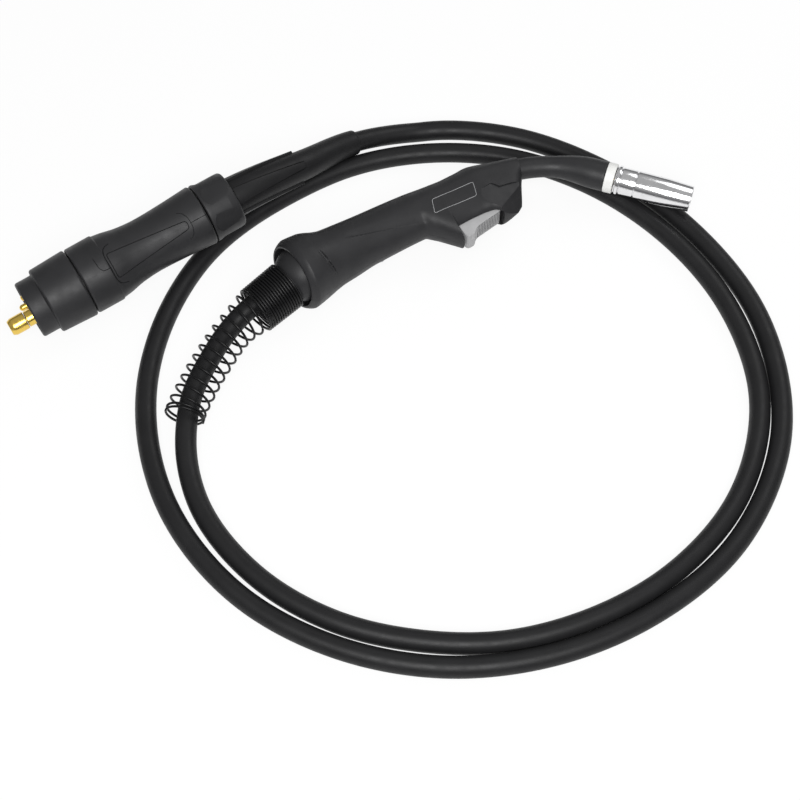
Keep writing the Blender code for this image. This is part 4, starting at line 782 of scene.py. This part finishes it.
def grip_hollows():
    """The hollows of the grip: ball seat with lead room, saddle, works, pocket, neck and pin."""
    seat, lip, mouth, before_rim = BALL_RADIUS + 0.0004, 0.0068, 0.0229, -0.008
    lead_room, lead_end = 0.015, 0.062
    start, end = math.acos(lead_room / seat), -math.asin((BALL_DEPTH - lip) / seat)
    socket = [(0.0, lead_end), (lead_room, lead_end), *arc(seat, start, end, 24, BALL_DEPTH),
              (mouth - 0.0003, lip - 0.0002), (mouth, lip - 0.0012), (mouth, before_rim), (0.0, before_rim)]
    bore = NECK_RADIUS + FIT_GAP
    neck = [neck_ring(mark, bore, 48) for mark in spread(0.1552, 0.195, 24)]
    front, half = TRIGGER_FRONT + 0.0012, TRIGGER_HALF + 0.0005
    return [
        lathe(socket, GRIP_TURNED, 96, False),
        rod((0.066, 0.0, 0.0), AHEAD, bore, 0.014, GRIP, 48),
        box((0.070, -0.012, -0.0095), (front, 0.0085, 0.0095), GRIP),
        box((TRIGGER_REAR - 0.0018, -0.0636, -half), (front, -0.006, half), GRIP),
        loft(neck, False, GRIP),
        rod(PIN_PLACE, UP, PIN_RADIUS, 0.0226, GRIP),
    ]


def facet_cutters(sign):
    """The cutters of the facet and the cheek on the upper side, or mirrored for the lower one."""
    made = []
    for plan, (px, py, pz), (nx, ny, nz) in FACETS:
        plane = [(x, y, sign * (pz - (nx * (x - px) + ny * (y - py)) / nz)) for x, y in plan]
        made.append(loft([plane, [(x, y, sign * PARTING_REACH) for x, y in plan]], False, GRIP))
    return made


def build_grip():
    turns = [FULL_TURN * (i + 0.5) / GRIP_SIDES for i in range(GRIP_SIDES)]
    rings = [[grip_point(x, turn) for turn in turns] for x in grip_stations()]
    wide = PARTING_REACH
    for name, node, sign in (("grip_upper", "handle_shell_upper", 1.0),
                             ("grip_lower", "handle_shell_lower", -1.0)):
        low, high = sorted((sign * FIT_GAP / 4.0, sign * wide))
        side = box((-wide, -wide, low), (wide, wide, high), GRIP)
        half = carve(loft(rings, False, GRIP), [side], "INTERSECT")
        tools = grip_hollows() + facet_cutters(sign)
        for x, y in SCREW_PLACES:
            tools.append(rod((x, y, SHANK_MIDDLE), UP, SHANK_RADIUS, SHANK_LENGTH, GRIP))
            if sign < 0.0:
                middle = -HEAD_SEAT - AXIS_HEIGHT / 2.0
                tools.append(rod((x, y, middle), UP, HEAD_RADIUS, AXIS_HEIGHT, GRIP, 32))
        piece(name, carve(half, tools), "handle", "black_plastic", [node], sharp=28.0)


build_grip()


# Thin border of the bare name plate on the head: corners in millimetres in the grip's frame

PLATE = ((115.7, -3.6), (149.9, -5.5), (146.0, -17.0), (111.4, -14.6))


def skin_top(x, y):
    """Height of the grip's skin over a place in its own frame, on the upper side."""
    low, high = 0.0, math.pi
    for _ in range(40):
        middle = (low + high) / 2.0
        if grip_point(x / MM, middle).y > y:
            low = middle
        else:
            high = middle
    return grip_point(x / MM, low).z


def build_plate():
    corner, step, radius = 0.0018, 0.0015, 0.00021
    line = rounded([(x * MM, y * MM) for x, y in PLATE], corner, True, 6)
    points = [GRIP @ Vector((x, y, skin_top(x, y))) for x, y in divided(line, step, True)]
    bead = swept(points, radius, 8, True)
    piece("plate_border", bead, "handle", "black_plastic", mat=materials["print_white"])


build_plate()


# Neck, insulator and nozzle

NECK_END = BEND_START + BEND_RADIUS * BEND_ANGLE + NECK_STRAIGHT
NECK_SIDES = 72
NOZZLE = GRIP @ axes(neck_path(NECK_END)[0], NOZZLE_AXIS)
INSULATOR = ((0.0113, 0.0071), (0.0113, 0.0003), (0.0053, 0.0003), (0.0053, 0.0071))


def build_neck():
    collar, length, taper = 0.0113, 0.0090, 0.034
    start = NECK_END - length - taper
    marks = spread(NECK_REAR, start, 90)
    outer = [(mark, NECK_RADIUS) for mark in marks]
    for i in range(1, 17):
        outer.append((start + taper * i / 16, NECK_RADIUS + (collar - NECK_RADIUS) * ease(i / 16, 0.0, 1.0)))
    outer += [(NECK_END - length * (1.0 - i / 5), collar) for i in range(1, 5)]
    outer += [(NECK_END - 0.0006, collar), (NECK_END - 0.0002, collar - 0.00015), (NECK_END, collar - 0.0005)]
    inner = [NECK_REAR, *marks[1::3], NECK_END]
    rings = [neck_ring(mark, radius, NECK_SIDES) for mark, radius in outer]
    rings += [neck_ring(mark, NECK_CORE + FIT_GAP, NECK_SIDES) for mark in reversed(inner)]
    piece("neck", loft(rings, True, GRIP), "handle", "black_plastic", ["neck_insulation"])


def build_nozzle():
    """The nozzle from its tapered front to a skirt between two grooves, a bead and a narrow rear sleeve."""
    rear, front, radius, tip, wall = 0.0086, 0.0654, 0.0106, 0.0096, 0.0014
    cone = front - 0.0195
    skirt, skirt_start, skirt_end = radius - 0.00017, rear + 0.0036, rear + 0.0141
    deep = radius - 0.0008
    bead = radius + 0.0005
    sleeve, seat = radius - 0.0007, rear - 0.0010
    outline = [(tip, front), (radius, cone), (radius, skirt_end + 0.0009), (deep, skirt_end + 0.0008),
               (deep, skirt_end + 0.0001), (skirt, skirt_end), (skirt, skirt_start),
               (deep, skirt_start - 0.0003), (deep, rear + 0.0030), (bead, rear + 0.0026),
               (bead, rear + 0.0006), (radius - 0.0004, rear), (sleeve, rear - 0.0001), (sleeve, seat),
               (radius - wall, seat), (radius - wall, cone), (tip - wall, front)]
    turned_piece("nozzle_sleeve", outline, 0.0006, NOZZLE, 128, "nozzle", "chrome", "nozzle", 50.0)


build_neck()
turned_piece("insulator", INSULATOR, 0.0005, NOZZLE, 96, "handle", "white_insulator", "insulator_ring")
build_nozzle()


# Trigger

RIB_COUNT = 14
# Section of the slot between two ribs: along the face and into it
RIB_SLOT = ((-0.0006, -0.002), (0.0006, -0.002), (0.0004, 0.0016), (-0.0004, 0.0016))


def build_trigger():
    rear, front, top, face, lobe = TRIGGER_REAR, TRIGGER_FRONT, -0.024, -0.0330, -0.0408
    outline = [(rear, top), (rear, lobe + 0.0032), (rear + 0.0009, lobe + 0.0006), (rear + 0.0030, lobe),
               (rear + 0.0066, lobe + 0.0003), (rear + 0.0084, lobe + 0.0020), (rear + 0.0098, face - 0.0043),
               (rear + 0.0125, face - 0.0030), (front, face), (front, top + 0.003), (0.148, top + 0.003),
               (0.147, top)]
    solid = prism(rounded(outline, 0.0016, True, 5), -TRIGGER_HALF, TRIGGER_HALF, GRIP)
    carrier = link(bpy.data.objects.new("work", solid))
    edge = carrier.modifiers.new("edge", "BEVEL")
    edge.width = 0.0005
    edge.segments = 3
    edge.limit_method = "ANGLE"
    edge.angle_limit = math.radians(50.0)
    soft = settled(carrier)
    start, end = Vector((rear + 0.0115, face - 0.0034)), Vector((front - 0.0006, face))
    along = (end - start).normalized()
    inward = Vector((-along.y, along.x))
    reach = TRIGGER_HALF - 0.0007
    tools = [rod(PIN_PLACE, UP, PIN_RADIUS, 0.03, GRIP)]
    for i in range(RIB_COUNT):
        centre = start.lerp(end, (i + 0.5) / RIB_COUNT)
        slot = [tuple(centre + a * along + b * inward) for a, b in RIB_SLOT]
        tools.append(prism(slot, -reach, reach, GRIP))
    piece("trigger_key", carve(soft, tools), "trigger", "grey_plastic", ["trigger"], sharp=40.0)


build_trigger()


# Ball, spring and cable

SPRING_CLOSED_PITCH = 0.00205
SPRING_OPEN_PITCH = 0.0083
SPRING_END_PITCH = 0.0027
SPRING_CLEAR = 0.0010
SPRING_STEPS = 44
CABLE_STEPS = 520


def build_ball():
    sphere = arc(BALL_RADIUS, math.acos(TAIL_RADIUS / BALL_RADIUS), -math.asin(BALL_FRONT / BALL_RADIUS), 40)
    tail_end = TAIL_START + TAIL_LENGTH
    points = [(TAIL_RADIUS - TAIL_TAPER, tail_end), *sphere, (BALL_BORE, -BALL_FRONT),
              (BALL_BORE, TAIL_START - 0.004), (TAIL_BORE, TAIL_START + 0.004), (TAIL_BORE, tail_end)]
    mesh = lathe(points, TAIL_FRAME)
    piece("swivel_ball", mesh, "cable_set", "black_plastic", ["ball_joint"], sharp=30.0)


def spring_pitch(reach):
    if reach < SPRING_CLOSED:
        return SPRING_CLOSED_PITCH
    return SPRING_OPEN_PITCH if reach < SPRING_CLOSED + SPRING_OPEN else SPRING_END_PITCH


def spring_radius(reach):
    start = TAIL_RADIUS + SPRING_CLEAR + SPRING_WIRE / 2.0
    if reach < SPRING_CLOSED:
        return start - TAIL_TAPER * reach / TAIL_LENGTH
    part = min(1.0, (reach - SPRING_CLOSED) / SPRING_TAPER)
    wide = start - TAIL_TAPER
    return wide + (SPRING_OPEN_RADIUS - wide) * (2.0 - part) * part


def build_spring():
    lying = SPRING_OPEN_RADIUS + SPRING_WIRE / 2.0
    straight = TAIL_START + SPRING_CLOSED
    points = [BALL, BALL + straight * TAIL, BALL + (straight + 2.0 * SPRING_WIRE) * TAIL]
    points += laid_points(SPRING_WAY, lying + FLOOR_GAP)
    way = SmoothPath(points, lying)
    start = TAIL_START + SPRING_WIRE / 2.0 + FIT_GAP
    wire = []
    reach, turn = 0.0, 0.0
    while reach < SPRING_CLOSED + SPRING_OPEN + SPRING_END:
        point, side, upward = way.section(start + reach, 0.002)
        wire.append(around(point, side, upward, spring_radius(reach), turn))
        turn += FULL_TURN / SPRING_STEPS
        reach += spring_pitch(reach) / SPRING_STEPS
    mesh = swept(wire, SPRING_WIRE / 2.0, 12)
    return piece("strain_coil", mesh, "cable_set", "black_wire", ["strain_spring"], sharp=60.0)


def build_cable():
    curve = bpy.data.curves.new("cable", "CURVE")
    curve.dimensions = "3D"
    curve.bevel_depth = CABLE_RADIUS
    curve.bevel_resolution = 10
    curve.use_fill_caps = True
    spline = curve.splines.new("POLY")
    spline.points.add(CABLE_STEPS)
    for i, point in enumerate(spline.points):
        point.co = (*route.at(route.length * i / CABLE_STEPS), 1.0)
    spline.use_smooth = True
    curve.materials.append(materials["black_rubber"])
    cable = link(bpy.data.objects.new("cable", curve))
    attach(cable, "cable_set")
    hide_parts("power_cable")
    return cable


def build_boot():
    """The tapered sleeve along the cable, with four raised tongues that narrow to blunt tips."""
    exit_mark = route.length - (COLLAR_REAR - CABLE_END)
    start, end = exit_mark - BOOT_LENGTH, exit_mark + BOOT_ROOT
    wide, narrow, bore = 0.0136, 0.0094, CABLE_RADIUS + 0.0004
    tongue, rise, sunk, slope, first = 0.058, 0.0017, 0.0010, 0.0005, math.radians(37.0)
    count = 4
    spacing = FULL_TURN / count
    plain_half, root_half, tongue_half = 0.12 * spacing, 0.30 * spacing, 0.28 * spacing

    def ring(mark, radius, half=plain_half, lift=0.0, sunk=0.0):
        """A ring whose points keep to the edges of the tongues, which stand a lift above the radius."""
        point, side, upward = route.section(mark)
        edge = slope / radius
        foot = radius - sunk
        gap = spacing - 2.0 * (half + 2.0 * edge)
        found = []
        for k in range(count):
            middle = first + k * spacing
            turns = [(middle - half + half * i / 5.0, radius + lift) for i in range(11)]
            turns.append((middle + half + edge, foot))
            turns += [(middle + half + 2.0 * edge + gap * i / 9.0, radius) for i in range(10)]
            turns.append((middle + spacing - half - edge, foot))
            found += [around(point, side, upward, r, a) for a, r in turns]
        return found

    def taper(reach):
        return wide + (narrow - wide) * reach / BOOT_LENGTH

    rings = [ring(mark, wide, root_half) for mark in (end, exit_mark + FIT_GAP)]
    for share in spread(0.005, 0.995, 40):
        half = tongue_half * (1.0 - 0.6 * share) * (1.0 - 0.15 * ease(share, 0.96, 1.0))
        rings.append(ring(exit_mark - share * tongue, taper(share * tongue), half, rise, sunk))
    rings.append(ring(exit_mark - tongue - 0.0003, taper(tongue), half, -sunk, sunk))
    for reach in spread(tongue + 0.0009, BOOT_LENGTH - 0.0010, 30):
        rings.append(ring(exit_mark - reach, taper(reach)))
    for inset, back in ((0.0001, 0.0006), (0.0003, 0.0002), (0.0007, 0.0)):
        rings.append(ring(start + back, narrow - inset))
    rings += [ring(mark, bore) for mark in spread(start, end, 30)]
    return piece("boot", loft(rings, True), "cable_set", "black_rubber", ["cable_boot"])


build_ball()
coil = build_spring()
cable = build_cable()
boot = build_boot()


# Plug

def housing_profile():
    step = HOUSING_FRONT + 0.0195
    waist, rear, front = 0.0207, 0.0230, 0.0257
    raw = [(rear - 0.0008, HOUSING_REAR), (rear, HOUSING_REAR - 0.001), (rear - 0.0005, HOUSING_REAR - 0.008),
           (waist + 0.0009, HOUSING_REAR - 0.021), (waist, HOUSING_REAR - 0.039), (waist, step + 0.030),
           (waist + 0.0012, step + 0.018), (front - 0.0017, step + 0.009), (front - 0.0008, step + 0.002),
           (front, step + 0.0012), (front + 0.0001, step), (front, HOUSING_FRONT + 0.001),
           (front - 0.0008, HOUSING_FRONT)]
    return rounded(raw, 0.008, False, 8)


HOUSING_LINE = housing_profile()
# The inside of the housing, and the seat that the nut turns on
HOUSING_BORE = ((0.0, 0.045), (0.013, 0.045), (0.013, HOUSING_REAR))
NUT_SEAT = ((0.0198, HOUSING_FRONT), (0.0198, 0.030), (0.0210, 0.030), (0.0210, 0.022), (0.0, 0.022))
HALVES_GAP = 0.00002

# Lines on the housing: half width, depth, size and steps of the corners, whether closed, and the places in
# millimetres round from the parting line and from the mouth
HOUSING_LINES = (
    (0.00030, 0.0010, 2.4, 6, True, ((-9.9, 65.5), (9.9, 65.5), (3.0, 127.0), (-3.0, 127.0))),
    (0.00034, 0.0012, 3.0, 5, False,
     ((-16.5, 71.0), (-15.0, 65.6), (-9.5, 63.6), (9.5, 63.6), (15.0, 65.6), (16.5, 71.0))),
    (0.00024, 0.0006, 3.0, 5, False,
     ((-11.2, 123.7), (-9.2, 127.2), (-4.0, 129.4), (4.0, 129.4), (9.2, 127.2), (11.2, 123.7))),
    (0.00024, 0.0006, 2.4, 5, False, ((0.0, 129.6), (0.0, 143.0))),
    (0.00024, 0.0006, 2.4, 5, False, ((12.0, 55.9), (3.4, 56.3), (0.0, 58.4), (0.0, 63.4))),
)
LINE_STEP = 1.0

# Housing screws: distance from the mouth and offset from the axis
PLUG_SCREWS = ((0.055, 0.0195), (0.135, 0.0180))
PLUG_HEAD_LENGTH = 0.023
PLUG_HEAD_MIDDLE = -0.0205

LOCKING_NUT = ((0.0252, NUT_LENGTH), (0.0261, NUT_LENGTH - 0.001), (0.0249, 0.0143), (0.0240, 0.0133),
               (0.0215, 0.0130), (0.0215, 0.0012), (0.0206, 0.0), (0.0186, 0.0), (0.0183, 0.0005),
               (0.0183, 0.020), (0.0215, 0.020), (0.0215, 0.0370), (0.0202, 0.0370), (0.0202, NUT_LENGTH))
SOCKET_FACE = ((0.0, 0.0217), (0.0179, 0.0217), (0.0179, 0.0157), (0.0, 0.0157))
FACE_MIDDLE = 0.0187
FACE_HOLE_LENGTH = 0.012
MAIN_PIN = ((0.008, 0.070), (0.008, 0.022), (0.006, 0.022), (0.006, -0.0047), (0.0041, -0.0048),
            (0.0041, -0.005), (0.0015, -0.005), (0.0015, 0.070))
LINER_CAP = ((0.0065, -0.0053), (0.0065, -0.0152), (0.0055, -0.0175), (0.0051, -0.0180), (0.0015, -0.0180),
             (0.0015, -0.0053))


def housing_radius(height):
    """The housing's outer radius at a distance from the mouth."""
    for one, two in zip(HOUSING_LINE, HOUSING_LINE[1:]):
        if two[1] <= height <= one[1]:
            part = (height - two[1]) / max(1e-9, one[1] - two[1])
            return two[0] + (one[0] - two[0]) * part
    return HOUSING_LINE[0][0]


def on_housing(across, height):
    """A place on the housing's skin: millimetres round from the parting line, and height."""
    radius = housing_radius(height * MM)
    turn = QUARTER_TURN + PARTING_ROLL - across * MM / radius
    return PLUG @ Vector((radius * math.cos(turn), radius * math.sin(turn), height * MM))


def groove(line, half_width, depth, cyclic):
    """A narrow slot cut along places on the housing."""
    points = [on_housing(*place) for place in divided(line, LINE_STEP, cyclic)]
    rings = []
    for i, point in enumerate(points):
        before, after = neighbours(points, i, cyclic)
        foot = point - MOUTH
        outward = (foot - foot.dot(PLUG_AXIS) * PLUG_AXIS).normalized()
        side = (after - before).cross(outward).normalized()
        rings.append([point + half_width * math.cos(turn) * side + depth * math.sin(turn) * outward
                      for turn in circle(8)])
    return loft(rings, cyclic)


def housing_tools(sign):
    """The cutters of one housing half: holes for the pins, the lines on its skin and the screws."""
    tools = [rod((MAIN_PIN_X, 0.0, 0.0447), UP, 0.0083, 0.0513, PLUG, 32)]
    for x, y in CONTACT_PLACES:
        tools.append(rod((x, y, 0.0237), UP, CONTACT_HOLE, 0.0095, PLUG))
    for half_width, depth, corner, steps, closed, line in HOUSING_LINES:
        tools.append(groove(rounded(line, corner, closed, steps), half_width, depth, closed))
    for height, offset in PLUG_SCREWS:
        shank = (SHANK_MIDDLE, -offset, height)
        tools.append(rod(shank, AHEAD, SHANK_RADIUS, SHANK_LENGTH, PLUG_ROLLED))
        if sign < 0.0:
            head = (PLUG_HEAD_MIDDLE, -offset, height)
            tools.append(rod(head, AHEAD, HEAD_RADIUS, PLUG_HEAD_LENGTH, PLUG_ROLLED, 32))
    return tools


def build_housing():
    points = [*HOUSING_BORE, *HOUSING_LINE, *NUT_SEAT]
    wide = PARTING_REACH
    made = []
    for name, node, sign in (("plug_grip_right", "plug_housing_right", -1.0),
                             ("plug_grip_left", "plug_housing_left", 1.0)):
        low, high = sorted((sign * HALVES_GAP, sign * wide))
        side = box((low, -wide, -wide), (high, wide, wide), PLUG_ROLLED)
        half = carve(lathe(points, PLUG, 128, False), [side], "INTERSECT")
        mesh = carve(half, housing_tools(sign))
        made.append(piece(name, mesh, "cable_set", "black_plastic", [node], sharp=28.0))
    return made


def build_face():
    face = lathe(rounded(SOCKET_FACE, 0.0005, False), PLUG, 96, False)
    holes = [rod((MAIN_PIN_X, 0.0, FACE_MIDDLE), UP, 0.0063, FACE_HOLE_LENGTH, PLUG, 48)]
    for x, y in CONTACT_PLACES:
        holes.append(rod((x, y, FACE_MIDDLE), UP, CONTACT_HOLE, FACE_HOLE_LENGTH, PLUG, 32))
    return piece("socket_face", carve(face, holes), "cable_set", "black_plastic", ["plug_face"])


def build_contacts():
    pin_frame = PLUG @ Matrix.Translation((MAIN_PIN_X, 0.0, 0.0))
    made = [turned_piece("main_pin", MAIN_PIN, 0.0004, pin_frame, 64, "cable_set", "brass", "plug_body"),
            turned_piece("liner_cap", LINER_CAP, 0.0005, pin_frame, 64, "cable_set", "brass", "liner_nut")]
    for i, ((x, y), tip) in enumerate(zip(CONTACT_PLACES, CONTACT_TIPS)):
        nose = arc(CONTACT_RADIUS, 0.0, -QUARTER_TURN, 10, tip + CONTACT_RADIUS)[:-1]
        points = [(0.0, tip + CONTACT_LENGTH), (CONTACT_RADIUS, tip + CONTACT_LENGTH), *nose, (0.0, tip)]
        node = "contact_pin_%d" % (i + 1)
        mesh = lathe(points, PLUG @ Matrix.Translation((x, y, 0.0)), 40, False)
        made.append(piece("contact_%d" % (i + 1), mesh, node, "brass", [node]))
    return made


def build_collar():
    """The ring behind the housing, with six flats that end in an arch."""
    rear, front = COLLAR_REAR, HOUSING_REAR + 0.0009
    big, small, bore = 0.0226, 0.0209, 0.0150
    points = [(small - 0.001, rear), (small, rear - 0.0012), (big - 0.0006, rear - 0.0060),
              (big, front + 0.003), (big, front + 0.0007), (big - 0.0007, front), (bore, front), (bore, rear)]
    ring = lathe(rounded(points, 0.0006), PLUG, 128)
    bend, arch, half, depth, count = front + 0.0097, 0.0077, 0.4 * big, 0.0014, 6
    outline = [(half * math.cos(a), bend + arch * math.sin(a)) for a in spread(math.pi, FULL_TURN, 32)]
    outline += [(half, bend + 0.025), (-half, bend + 0.025)]
    tools = []
    for i in range(count):
        turn = Matrix.Rotation(FULL_TURN * (i + 0.5) / count + PARTING_ROLL, 4, "Z")
        lie = Matrix.Translation((0.0, big - depth, 0.0)) @ Matrix.Rotation(QUARTER_TURN, 4, "X")
        tools.append(prism(outline, -2.0 * depth, 0.0, PLUG @ turn @ lie))
    return piece("plug_ring", carve(ring, tools), "cable_set", "black_plastic", ["plug_collar"])


housings = build_housing()
nut = turned_piece("locking_nut", LOCKING_NUT, 0.0009, PLUG, 128, "plug_nut", "black_plastic", "plug_nut",
                   40.0)
face = build_face()
contacts = build_contacts()
ring_piece = build_collar()

on_cable = [coil, boot, *housings, nut, face, *contacts, ring_piece]
on_cable += [frame["nodes"][name] for name in ("plug_screw_1", "plug_screw_2", "gas_o_ring", "crimp_sleeve")]
